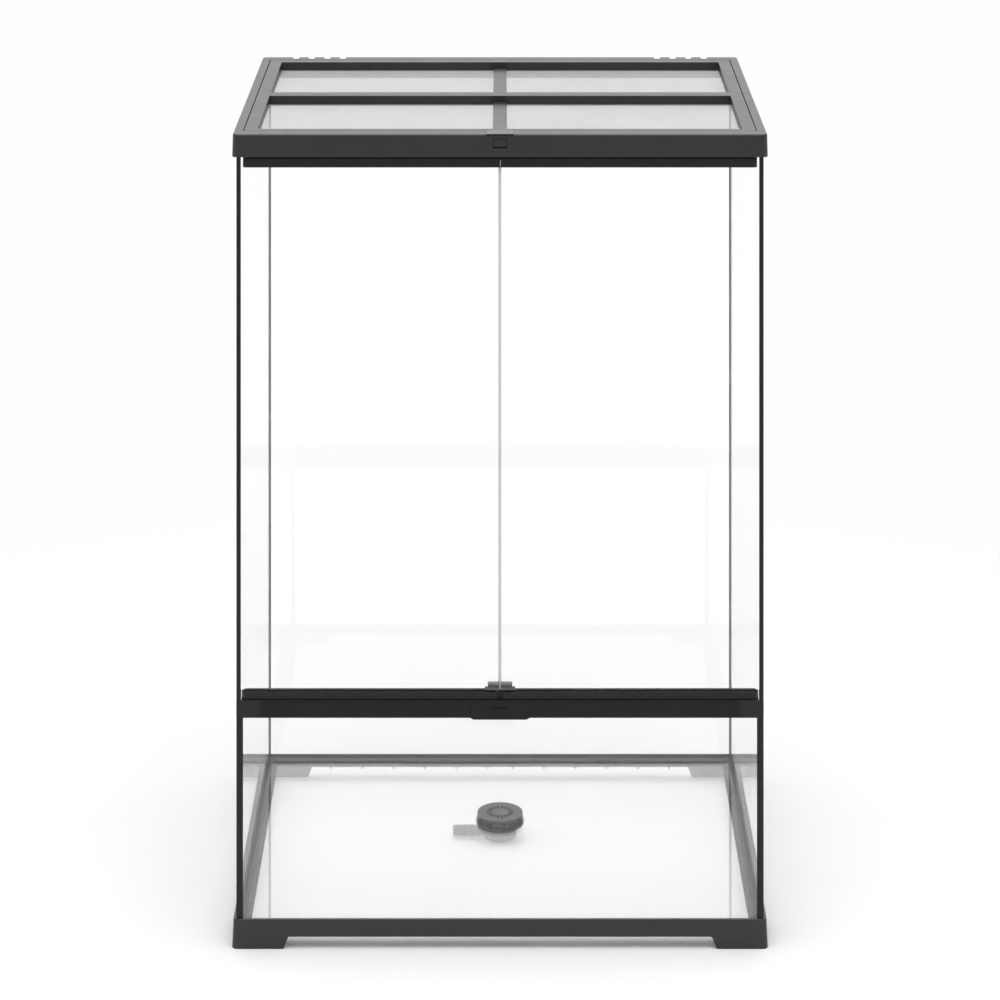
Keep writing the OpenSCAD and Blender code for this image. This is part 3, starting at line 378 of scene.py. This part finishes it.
class Finishes:
    """Every finish of the terrarium, built once."""

    def __init__(self) -> None:
        """Builds the materials."""
        self.frame = SolidFinish("frame_plastic", (0.016, 0.016, 0.0165), 0.36).build()
        self.rail = SolidFinish("rail_plastic", (0.019, 0.019, 0.0194), 0.36,
                                specular=0.2).build()
        self.plate = SolidFinish("plate_plastic", (0.005, 0.005, 0.0053), 0.34,
                                 specular=0.25).build()
        self.control = SolidFinish("control_plastic", (0.02, 0.02, 0.021), 0.32).build()
        self.pull = SolidFinish("pull_plastic", (0.11, 0.11, 0.11), 0.38).build()
        self.trim = SolidFinish("edge_trim", (0.008, 0.008, 0.009), 0.4, specular=0.3).build()
        self.sealant = SolidFinish("black_sealant", (0.008, 0.008, 0.008), 0.3,
                                   mottle_size=0.01, grain_size=0.006, grain_depth=0.00003).build()
        self.bush = SolidFinish("bush_acetal", (0.6, 0.57, 0.5), 0.35).build()
        self.drain = SolidFinish("drain_plastic", (0.036, 0.031, 0.027), 0.5,
                                 mottle=0.2, mottle_size=0.012).build()
        self.rubber = SolidFinish("ring_rubber", (0.014, 0.014, 0.014), 0.5).build()
        self.zinc = SolidFinish("zinc_steel", (0.66, 0.66, 0.64), 0.28, metallic=1.0,
                                mottle_size=0.004).build()
        self.wire = SolidFinish("screen_wire", (0.46, 0.46, 0.465), 0.38, metallic=0.9,
                                mottle=0.03, mottle_size=0.03, grain_depth=0.000002,
                                sheen_spread=0.01).build()
        self.glass = GlassFinish().build()
        # The floor pane is the same clear glass as the others; its grey tint is painted shade that darkens the floor
        # seen through it.
        self.floor_glass_painted_shade = GlassFinish("floor_glass_painted_shade", (0.93, 0.931, 0.93)).build()
        self.strip = StripFinish().build()


# --------------------------------------------------------------------------
# Surfaces
# --------------------------------------------------------------------------


def mesh_object(name: str, points: np.ndarray, faces: np.ndarray) -> bpy.types.Object:
    """Makes an object at the origin from arrays.

    Args:
        name: The piece's name.
        points: Points, one row each.
        faces: Four point numbers to a row.

    Returns:
        The new object, linked to the scene.
    """
    mesh = bpy.data.meshes.new(name)
    mesh.vertices.add(len(points))
    mesh.vertices.foreach_set("co", points.astype(np.float32).ravel())
    mesh.loops.add(faces.size)
    mesh.loops.foreach_set("vertex_index", faces.astype(np.int32).ravel())
    mesh.polygons.add(len(faces))
    mesh.polygons.foreach_set("loop_start", np.arange(0, faces.size, 4, dtype=np.int32))
    mesh.polygons.foreach_set("loop_total", np.full(len(faces), 4, dtype=np.int32))
    mesh.update(calc_edges=True)
    mesh.validate()
    piece = bpy.data.objects.new(name, mesh)
    bpy.context.scene.collection.objects.link(piece)
    return piece


def grid_faces(rows: int, columns: int, wrap_rows: bool, wrap_columns: bool) -> np.ndarray:
    """Numbers the faces of a grid of points kept row by row.

    Args:
        rows: Rows of points.
        columns: Points in a row.
        wrap_rows: Joins the last row to the first.
        wrap_columns: Joins the last column to the first.

    Returns:
        One row of four point numbers for each face.
    """
    r = np.arange(rows if wrap_rows else rows - 1)[:, None]
    c = np.arange(columns if wrap_columns else columns - 1)[None, :]
    r_next, c_next = (r + 1) % rows, (c + 1) % columns
    corners = (r * columns + c, r * columns + c_next, r_next * columns + c_next,
               r_next * columns + c)
    return np.stack([np.broadcast_to(k, (r.size, c.size)).ravel() for k in corners], axis=1)


def box_object(name: str, low: tuple[float, float, float],
               high: tuple[float, float, float]) -> bpy.types.Object:
    """Makes a plain box, whose faces point outwards.

    Args:
        name: The piece's name.
        low: Its lowest corner.
        high: Its highest corner.

    Returns:
        The new object.
    """
    corners = np.meshgrid(*zip(low, high), indexing="ij")
    points = np.stack([side.ravel() for side in corners], axis=1)
    faces = np.array([[0, 1, 3, 2], [4, 6, 7, 5], [0, 4, 5, 1],
                      [2, 3, 7, 6], [0, 2, 6, 4], [1, 5, 7, 3]])
    return mesh_object(name, points, faces)


def bead_profile(leg: float, points: int) -> np.ndarray:
    """Section of a sealant bead in a right corner.

    A tooled bead is hollow: its face is the curve sqrt(a / leg) + sqrt(b / leg)
    = 1 between the walls, filled out a little towards a straight line.
    The corner itself closes the section.

    Args:
        leg: Reach along each wall.
        points: Points on the face.

    Returns:
        Rows of (distance from the first wall, distance from the second wall).
    """
    t = np.linspace(0.0, 1.0, points)
    hollow = np.stack([leg * (1 - t) ** 2, leg * t ** 2], axis=1)
    straight = np.stack([leg * (1 - t), leg * t], axis=1)
    face = HOLLOW_SHARE * hollow + (1.0 - HOLLOW_SHARE) * straight
    return np.vstack([np.zeros((1, 2)), face])


def hand_wave(along: np.ndarray, depth: float) -> np.ndarray:
    """Slow, uneven swelling of a bead laid by hand.

    The width is 1 plus three sine waves of unlike lengths.

    Args:
        along: Distance along the bead, in metres.
        depth: Largest share by which the bead swells.

    Returns:
        The factor on the bead's width at each place.
    """
    waves = sum(height * np.sin(along * pace + start) for pace, height, start in BEAD_WAVES)
    return 1.0 + depth * waves / sum(height for _, height, _ in BEAD_WAVES)


def smooth(piece: bpy.types.Object, angle: float = 40.0) -> bpy.types.Object:
    """Shades a piece smooth, with sharp edges past an angle.

    Args:
        piece: The mesh object.
        angle: The angle in degrees.

    Returns:
        The same object.
    """
    mesh = piece.data
    mesh.polygons.foreach_set("use_smooth", np.ones(len(mesh.polygons), dtype=bool))
    mesh.set_sharp_from_angle(angle=math.radians(angle))
    return piece


# --------------------------------------------------------------------------
# Pieces
# --------------------------------------------------------------------------


@dataclass
class Wardrobe:
    """Gives CAD nodes their finish and their softened edges."""

    nodes: dict[str, bpy.types.Object]
    weld: float = 0.01 * MM
    edge_angle: float = 35.0

    def dress(self, names: list[str], finish: bpy.types.Material, edge: float = 0.0,
              segments: int = 2) -> None:
        """Gives nodes one finish.

        Args:
            names: The nodes.
            finish: Their material.
            edge: Radius of their softened edges, in metres, or 0.
            segments: Steps in a softened edge.
        """
        for name in names:
            node = self.nodes[name]
            node.data.materials.clear()
            node.data.materials.append(finish)
            if edge:
                weld = node.modifiers.new("joined_corners", "WELD")
                weld.merge_threshold = self.weld
                bevel = node.modifiers.new("soft_edges", "BEVEL")
                bevel.width = edge
                bevel.segments = segments
                bevel.limit_method = "ANGLE"
                bevel.angle_limit = math.radians(self.edge_angle)
                bevel.harden_normals = True
            LOG.info("dressed %s in %s", name, finish.name)


@dataclass
class Tank:
    """Glass box with its base frame, top frame, trims and sealant."""

    finishes: Finishes
    wardrobe: Wardrobe
    base_edge: float = 0.5 * MM
    top_edge: float = 0.15 * MM
    trim_edge: float = 0.2 * MM
    shutter_edge: float = 0.2 * MM
    bead_points: int = 9
    ring_points: int = 240
    column_points: int = 90
    bead_crease: float = 60.0
    swell: float = 0.1
    corner_leg: float = 1.6 * MM
    front_leg: float = 1.4 * MM
    front_blend: float = 0.02

    def dress(self) -> None:
        """Gives the tank's CAD nodes their finishes."""
        self.wardrobe.dress(["base_frame"], self.finishes.frame, self.base_edge)
        self.wardrobe.dress(["top_frame", "cover_seat", "left_inlet_comb", "right_inlet_comb"],
                            self.finishes.frame, self.top_edge)
        self.wardrobe.dress(["left_edge_trim", "right_edge_trim"], self.finishes.trim,
                            self.trim_edge)
        self.wardrobe.dress(["left_side_pane", "right_side_pane", "rear_pane",
                             "front_sill_pane"], self.finishes.glass)
        # The floor pane's grey tint is painted shade on the floor beneath the tank.
        self.wardrobe.dress(["floor_pane"], self.finishes.floor_glass_painted_shade)
        self.wardrobe.dress(["left_inlet_shutter", "right_inlet_shutter"], self.finishes.control,
                            self.shutter_edge)

    def floor_bead(self) -> bpy.types.Object:
        """Lays the bead round the floor.

        A point of the rim of a square from -1 to 1, scaled by the room's half
        sizes less the bead's own width, gives the ring; the bead's section gives
        the width and the height. So the surface is a function of the place on
        the rim and the place on the section. The bead is lower along the front.

        Returns:
            The bead, in the place of the floor_sealant node.
        """
        low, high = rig.box("floor_sealant")
        half = np.array([high.x, high.y])
        leg = high.z - low.z
        side = 2.0
        rim = 4.0 * side
        place = np.linspace(-rim / 2.0, rim / 2.0, self.ring_points, endpoint=False)
        rim_x = np.clip(np.abs((place % rim) - rim / 2.0) - side, -1.0, 1.0)
        rim_y = np.clip(np.abs(((place + side) % rim) - rim / 2.0) - side, -1.0, 1.0)
        along = place * half.mean() / side
        swell = np.minimum(hand_wave(along, self.swell), 1.0)
        section = bead_profile(leg, self.bead_points)
        width = section[None, :, 0] * swell[:, None]
        front = np.clip(1.0 - (1.0 + rim_y) / self.front_blend, 0.0, 1.0)
        lowered = 1.0 - front * (1.0 - self.front_leg / leg)
        height = section[None, :, 1] * (swell * lowered)[:, None]
        points = np.stack([
            rim_x[:, None] * (half[0] - width),
            rim_y[:, None] * (half[1] - width),
            low.z + height,
        ], axis=2)
        faces = grid_faces(self.ring_points, len(section), True, True)
        bead = smooth(mesh_object("floor_bead", points.reshape(-1, 3), faces), self.bead_crease)
        bead.data.materials.append(self.finishes.sealant)
        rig.ride(bead, Body.TANK.value)
        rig.replaces(bead, "floor_sealant")
        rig.slot(bead, "sealant")
        return bead

    def corner_beads(self, node: str, name: str, rear: bool) -> list[bpy.types.Object]:
        """Lays the two upright beads that a node stands for.

        The section is carried up the corner, and its width swells with the
        height, so each bead is a function of the height and the section.

        Args:
            node: The CAD node.
            name: The pieces' common name.
            rear: True for the rear corners.

        Returns:
            The left and the right bead.
        """
        low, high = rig.box(node)
        wall_y = high.y if rear else low.y
        sign_y = 1.0 if rear else -1.0
        rise = np.linspace(low.z, high.z, self.column_points)
        section = bead_profile(self.corner_leg, self.bead_points)
        made = []
        for label, sign_x in (("left", -1.0), ("right", 1.0)):
            swell = np.minimum(hand_wave(rise + sign_x, self.swell), 1.0)
            x = sign_x * (high.x - section[None, :, 0] * swell[:, None])
            y = wall_y - sign_y * section[None, :, 1] * swell[:, None]
            z = np.broadcast_to(rise[:, None], x.shape)
            faces = grid_faces(self.column_points, len(section), False, True)
            points = np.stack([x, y, z], axis=2).reshape(-1, 3)
            bead = smooth(mesh_object(f"{label}_{name}", points, faces), self.bead_crease)
            bead.data.materials.append(self.finishes.sealant)
            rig.ride(bead, Body.TANK.value)
            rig.replaces(bead, node)
            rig.slot(bead, "sealant")
            made.append(bead)
        return made

    def build(self) -> None:
        """Dresses the tank and lays its sealant."""
        self.dress()
        beads = [self.floor_bead()]
        beads += self.corner_beads("rear_corner_sealant", "rear_bead", True)
        beads += self.corner_beads("front_corner_sealant", "front_bead", False)
        LOG.info("laid %d sealant beads", len(beads))


@dataclass
class Doors:
    """The two glass doors with their rails, pins, pulls and seal."""

    finishes: Finishes
    wardrobe: Wardrobe
    pane_edge: float = 0.4 * MM
    rail_edge: float = 0.5 * MM
    pull_edge: float = 0.4 * MM
    tip_play: float = 0.25 * MM
    tip_root: float = 0.25 * MM
    tip_set_back: float = 1.5 * MM

    def rail_tip(self) -> bpy.types.Object:
        """Closes the gap between the top rails above the seal.

        Returns:
            A soft tip, rooted in the left rail's inner end and just clear of
            the right rail.
        """
        low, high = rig.box("left_door_top_rail")
        right_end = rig.box("right_door_top_rail")[0].x
        tip = box_object("left_rail_tip",
                         (high.x - self.tip_root, low.y + self.tip_set_back, low.z),
                         (right_end - self.tip_play, high.y, high.z - self.tip_set_back))
        tip.data.materials.append(self.finishes.plate)
        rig.ride(tip, Body.LEFT_DOOR.value)
        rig.slot(tip, "rail_plastic")
        return tip

    def build(self) -> None:
        """Dresses both doors and their hinge bushes."""
        for side in ("left", "right"):
            self.wardrobe.dress([f"{side}_door_pane"], self.finishes.glass, self.pane_edge, 1)
            self.wardrobe.dress([f"{side}_door_top_rail", f"{side}_door_bottom_rail"],
                                self.finishes.rail, self.rail_edge)
            self.wardrobe.dress([f"{side}_lock_keeper"], self.finishes.rail)
            self.wardrobe.dress([f"{side}_hinge_pins"], self.finishes.zinc)
            self.wardrobe.dress([f"{side}_door_pull"], self.finishes.pull, self.pull_edge)
        self.wardrobe.dress(["door_seal"], self.finishes.strip)
        self.wardrobe.dress(["lower_hinge_bushes", "upper_hinge_bushes"], self.finishes.bush)
        LOG.info("added %s", self.rail_tip().name)


@dataclass
class FrontRail:
    """The rail under the doors with its strip and its lock."""

    finishes: Finishes
    wardrobe: Wardrobe
    rail_edge: float = 0.7 * MM
    plate_edge: float = 0.2 * MM

    def build(self) -> None:
        """Dresses the rail and the lock."""
        self.wardrobe.dress(["front_rail"], self.finishes.rail, self.rail_edge)
        self.wardrobe.dress(["rail_strip", "lock_plate", "lock_knob"], self.finishes.plate,
                            self.plate_edge)
        self.wardrobe.dress(["lock_crank", "lock_bolt"], self.finishes.zinc)


@dataclass
class ScreenCover:
    """The lift-off cover: its frame, bars, clips, latch and wire screen."""

    finishes: Finishes
    wardrobe: Wardrobe
    frame_edge: float = 0.4 * MM
    clip_edge: float = 0.2 * MM
    pitch: float = 1.6 * MM
    wire: float = 0.25 * MM
    sides: int = 6
    wire_crease: float = 80.0

    def wires(self, name: str, starts: np.ndarray, ends: np.ndarray) -> bpy.types.Object:
        """Stretches straight round wires.

        A wire is a ring of points at each end, at the wire's radius round its
        axis: one parameter runs round the wire and the other along it.

        Args:
            name: The piece's name.
            starts: First ends, one row each.
            ends: Last ends, one row each.

        Returns:
            One object with all the wires.
        """
        run = ends[0] - starts[0]
        run = run / np.linalg.norm(run)
        across = np.cross(run, [0.0, 0.0, 1.0])
        turn = 2.0 * np.pi * np.arange(self.sides) / self.sides
        ring = (np.cos(turn)[:, None] * across + np.sin(turn)[:, None] * [0.0, 0.0, 1.0])
        ring = ring * self.wire / 2.0
        rings = np.stack([starts[:, None, :] + ring, ends[:, None, :] + ring], axis=1)
        one = grid_faces(2, self.sides, False, True)
        shift = np.arange(len(starts))[:, None, None] * 2 * self.sides
        faces = (one[None, :, :] + shift).reshape(-1, 4)
        piece = smooth(mesh_object(name, rings.reshape(-1, 3), faces), self.wire_crease)
        piece.data.materials.append(self.finishes.wire)
        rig.ride(piece, Body.COVER.value)
        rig.replaces(piece, "cover_screen")
        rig.slot(piece, "screen_steel")
        return piece

    def screen(self) -> list[bpy.types.Object]:
        """Fills the cover with wires both ways, one layer on the other.

        Returns:
            The wires across the tank and the wires from front to back.
        """
        low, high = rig.box("cover_screen")
        count_y = int((high.y - low.y) / self.pitch)
        count_x = int((high.x - low.x) / self.pitch)
        y = np.linspace(low.y + self.wire, high.y - self.wire, count_y)
        x = np.linspace(low.x + self.wire, high.x - self.wire, count_x)
        z_across = low.z + self.wire / 2.0
        z_along = high.z - self.wire / 2.0
        across = self.wires(
            "screen_wires_across",
            np.stack([np.full(count_y, low.x), y, np.full(count_y, z_across)], axis=1),
            np.stack([np.full(count_y, high.x), y, np.full(count_y, z_across)], axis=1))
        along = self.wires(
            "screen_wires_along",
            np.stack([x, np.full(count_x, low.y), np.full(count_x, z_along)], axis=1),
            np.stack([x, np.full(count_x, high.y), np.full(count_x, z_along)], axis=1))
        return [across, along]

    def build(self) -> None:
        """Dresses the cover and stretches its screen."""
        self.wardrobe.dress(["cover_frame", "cover_centre_bars", "screen_retainer",
                             "retainer_cross_bar"], self.finishes.frame, self.frame_edge)
        self.wardrobe.dress(["cover_clips", "cover_latch"], self.finishes.control,
                            self.clip_edge)
        LOG.info("stretched %s", [piece.name for piece in self.screen()])


@dataclass
class Drain:
    """The floor drain: strainer, ring and body."""

    finishes: Finishes
    wardrobe: Wardrobe
    drain_edge: float = 0.25 * MM

    def build(self) -> None:
        """Dresses the drain."""
        self.wardrobe.dress(["drain_strainer", "drain_body"], self.finishes.drain,
                            self.drain_edge)
        self.wardrobe.dress(["drain_o_ring"], self.finishes.rubber)


# --------------------------------------------------------------------------
# Studio
# --------------------------------------------------------------------------


@dataclass(frozen=True)
class PictureCamera:
    """The camera of the product picture.

    The picture has true uprights and one vanishing point: the film stood
    upright while the lens looked down. The film's sideways and upward lines are
    therefore kept level and upright, and only the line of sight is tilted.
    """

    eye_height: float = 1.6918
    eye_distance: float = 3.763
    film_ratio: float = 3.108
    aim_height: float = 0.4335
    sensor_mm: float = 36.0
    farthest: float = 200.0

    def build(self) -> bpy.types.Object:
        """Makes the camera.

        Returns:
            The scene's camera, on a carrier that keeps the film upright.
        """
        eye = Vector((0.0, -self.eye_distance, self.eye_height))
        aim = Vector((0.0, 0.0, self.aim_height))
        back = (eye - aim).normalized()
        data = bpy.data.cameras.new("picture_camera")
        data.sensor_width = self.sensor_mm
        data.lens = self.sensor_mm * self.film_ratio / abs(back.y)
        data.clip_end = self.farthest
        camera = bpy.data.objects.new("picture_camera", data)
        carrier = bpy.data.objects.new("camera_carrier", None)
        bpy.context.scene.collection.objects.link(camera)
        bpy.context.scene.collection.objects.link(carrier)
        upright_film = Matrix((
            (1.0, 0.0, back.x, eye.x),
            (0.0, 0.0, back.y, eye.y),
            (0.0, 1.0, back.z, eye.z),
            (0.0, 0.0, 0.0, 1.0),
        ))
        camera.matrix_basis = Matrix.LocRotScale(eye, back.to_track_quat("Z", "Y"), None)
        camera.parent = carrier
        camera.matrix_parent_inverse = upright_film @ camera.matrix_basis.inverted()
        bpy.context.scene.camera = camera
        return camera


@dataclass(frozen=True)
class SoftBox:
    """A square or oblong soft lamp that faces the tank.

    A lamp that isn't in_glass lights the tank, but shows neither in reflections
    nor through the panes.
    """

    name: str
    place: tuple[float, float, float]
    width: float
    height: float
    radiance: float
    aim: tuple[float, float, float] = (0.0, 0.0, 0.5)
    in_glass: bool = True

    def hang(self) -> None:
        """Hangs the lamp; its power follows from its radiance and its area."""
        data = bpy.data.lights.new(self.name, "AREA")
        data.shape = "RECTANGLE"
        data.size = self.width
        data.size_y = self.height
        data.energy = math.pi * self.width * self.height * self.radiance
        lamp = bpy.data.objects.new(self.name, data)
        sight = Vector(self.aim) - Vector(self.place)
        turn = sight.to_track_quat("-Z", "Y")
        lamp.matrix_world = Matrix.LocRotScale(Vector(self.place), turn, None)
        lamp.visible_glossy = self.in_glass
        lamp.visible_transmission = self.in_glass
        bpy.context.scene.collection.objects.link(lamp)


@dataclass(frozen=True)
class Studio:
    """White floor, pale surroundings and soft boxes over, behind and beside."""

    sky_front: float = 0.45
    sky_back: float = 0.95
    floor_half: float = 45.0
    floor_shade: float = 0.73
    floor_far: float = 0.985
    floor_before: float = 0.45
    fade_from: float = -9.0
    fade_to: float = -2.2
    blend_from: float = 0.7
    blend_to: float = 1.9
    through_glass: float = 0.1
    veil: float = 0.15
    boxes: tuple[SoftBox, ...] = (
        SoftBox("overhead_box", (0.0, -0.7, 3.6), 3.0, 3.0, 4.0),
        SoftBox("back_box", (0.0, 4.2, 3.0), 5.0, 3.0, 0.6, (0.0, 0.0, 0.926)),
        SoftBox("left_strip", (-2.6, -0.3, 1.0), 0.6, 2.2, 3.5, in_glass=False),
        SoftBox("right_strip", (2.6, -0.3, 1.0), 0.6, 2.2, 3.5, in_glass=False),
    )

    def floor(self) -> bpy.types.Object:
        """Lays the floor.

        Returns:
            A sheet that keeps the tank's soft shadow, weaker where it is seen
            through glass, and turns into an even white away from it, dimmer
            again far behind the camera.
        """
        corners = self.floor_half * np.array([[-1, -1, 0], [1, -1, 0], [1, 1, 0], [-1, 1, 0]])
        sheet = mesh_object("studio_floor", corners, np.array([[0, 1, 2, 3]]))
        graph = Graph("studio_floor")
        shade = (self.floor_shade,) * 3
        chalk = graph.add("ShaderNodeBsdfDiffuse", {"Color": (*shade, 1.0)})
        glow = graph.add("ShaderNodeEmission", {"Color": (1.0, 1.0, 1.0, 1.0)})
        place = graph.add("ShaderNodeTexCoord")
        parts = graph.add("ShaderNodeSeparateXYZ")
        graph.join(place.outputs["Object"], parts.inputs["Vector"])
        before = graph.add("ShaderNodeMapRange", {
            "From Min": self.fade_from, "From Max": self.fade_to,
            "To Min": self.floor_before, "To Max": self.floor_far,
        })
        graph.join(parts.outputs["Y"], before.inputs["Value"])
        lift = graph.add("ShaderNodeMath")
        lift.operation = "MULTIPLY_ADD"
        lift.inputs[1].default_value = self.through_glass
        path = graph.add("ShaderNodeLightPath")
        graph.join(path.outputs[Ray.TRANSMISSION.value], lift.inputs[0])
        graph.join(before.outputs["Result"], lift.inputs[2])
        graph.join(lift.outputs["Value"], glow.inputs["Strength"])
        distance = graph.add("ShaderNodeVectorMath")
        distance.operation = "LENGTH"
        graph.join(place.outputs["Object"], distance.inputs[0])
        far = graph.add("ShaderNodeMapRange", {"From Min": self.blend_from,
                                               "From Max": self.blend_to})
        far.interpolation_type = "SMOOTHSTEP"
        graph.join(distance.outputs["Value"], far.inputs["Value"])
        veil = graph.add("ShaderNodeMath")
        veil.operation = "MULTIPLY_ADD"
        veil.use_clamp = True
        veil.inputs[1].default_value = self.veil
        graph.join(path.outputs[Ray.TRANSMISSION.value], veil.inputs[0])
        graph.join(far.outputs["Result"], veil.inputs[2])
        mix = graph.add("ShaderNodeMixShader")
        graph.join(veil.outputs["Value"], mix.inputs["Fac"])
        graph.join(chalk.outputs["BSDF"], mix.inputs[1])
        graph.join(glow.outputs["Emission"], mix.inputs[2])
        graph.join(mix.outputs["Shader"], graph.output.inputs["Surface"])
        sheet.data.materials.append(graph.material)
        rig.stage(sheet)
        return sheet

    def sky(self) -> None:
        """Makes the surroundings: dim before the tank, bright behind it.

        They are full white where they are seen directly, and a little more
        through glass, which makes up for what the panes take.
        """
        world = bpy.data.worlds.new("studio_sky")
        world.use_nodes = True
        tree = world.node_tree
        tree.nodes.clear()
        path = tree.nodes.new("ShaderNodeLightPath")
        seen = tree.nodes.new("ShaderNodeMath")
        seen.operation = "MAXIMUM"
        tree.links.new(path.outputs[Ray.CAMERA.value], seen.inputs[0])
        tree.links.new(path.outputs[Ray.TRANSMISSION.value], seen.inputs[1])
        place = tree.nodes.new("ShaderNodeTexCoord")
        parts = tree.nodes.new("ShaderNodeSeparateXYZ")
        tree.links.new(place.outputs["Generated"], parts.inputs["Vector"])
        depth = tree.nodes.new("ShaderNodeMapRange")
        depth.inputs["From Min"].default_value = -1.0
        depth.inputs["From Max"].default_value = 1.0
        depth.inputs["To Min"].default_value = self.sky_front
        depth.inputs["To Max"].default_value = self.sky_back
        tree.links.new(parts.outputs["Y"], depth.inputs["Value"])
        level = tree.nodes.new("ShaderNodeMix")
        lift = tree.nodes.new("ShaderNodeMath")
        lift.operation = "MULTIPLY_ADD"
        lift.inputs[1].default_value = self.through_glass
        lift.inputs[2].default_value = 1.0
        tree.links.new(path.outputs[Ray.TRANSMISSION.value], lift.inputs[0])
        tree.links.new(lift.outputs["Value"], level.inputs["B"])
        tree.links.new(seen.outputs["Value"], level.inputs["Factor"])
        tree.links.new(depth.outputs["Result"], level.inputs["A"])
        background = tree.nodes.new("ShaderNodeBackground")
        background.inputs["Color"].default_value = (1.0, 1.0, 1.0, 1.0)
        tree.links.new(level.outputs["Result"], background.inputs["Strength"])
        output = tree.nodes.new("ShaderNodeOutputWorld")
        tree.links.new(background.outputs["Background"], output.inputs["Surface"])
        bpy.context.scene.world = world

    def build(self) -> None:
        """Makes the floor, the surroundings and the lamps."""
        self.floor()
        self.sky()
        for box in self.boxes:
            box.hang()
        bpy.context.scene.view_settings.view_transform = "Standard"


@dataclass
class SizeNote:
    """Keeps the part's box from straight after loading and writes both boxes."""

    path: str = "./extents.json"
    cad: list[list[float]] = field(default_factory=list)

    def bounds(self) -> list[list[float]]:
        """Reads the whole object's box as plain lists."""
        low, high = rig.bounds()
        return [list(map(float, low)), list(map(float, high))]

    def start(self) -> None:
        """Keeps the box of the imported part."""
        self.cad = self.bounds()

    def write(self) -> None:
        """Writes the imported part's box and the dressed part's box."""
        with open(self.path, "w", encoding="utf-8") as out:
            json.dump({"cad": self.cad, "visual": self.bounds()}, out, indent=1)


def main() -> None:
    """Builds the scene: camera, studio, then each sub-assembly."""
    logging.basicConfig(level=logging.INFO, format="%(name)s: %(message)s")
    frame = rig.load()
    size = SizeNote()
    size.start()
    PictureCamera().build()
    Studio().build()
    finishes = Finishes()
    wardrobe = Wardrobe(frame["nodes"])
    for assembly in (Tank, Doors, FrontRail, ScreenCover, Drain):
        assembly(finishes, wardrobe).build()
        LOG.info("built %s", assembly.__name__)
    size.write()


if __name__ == "__main__":
    main()
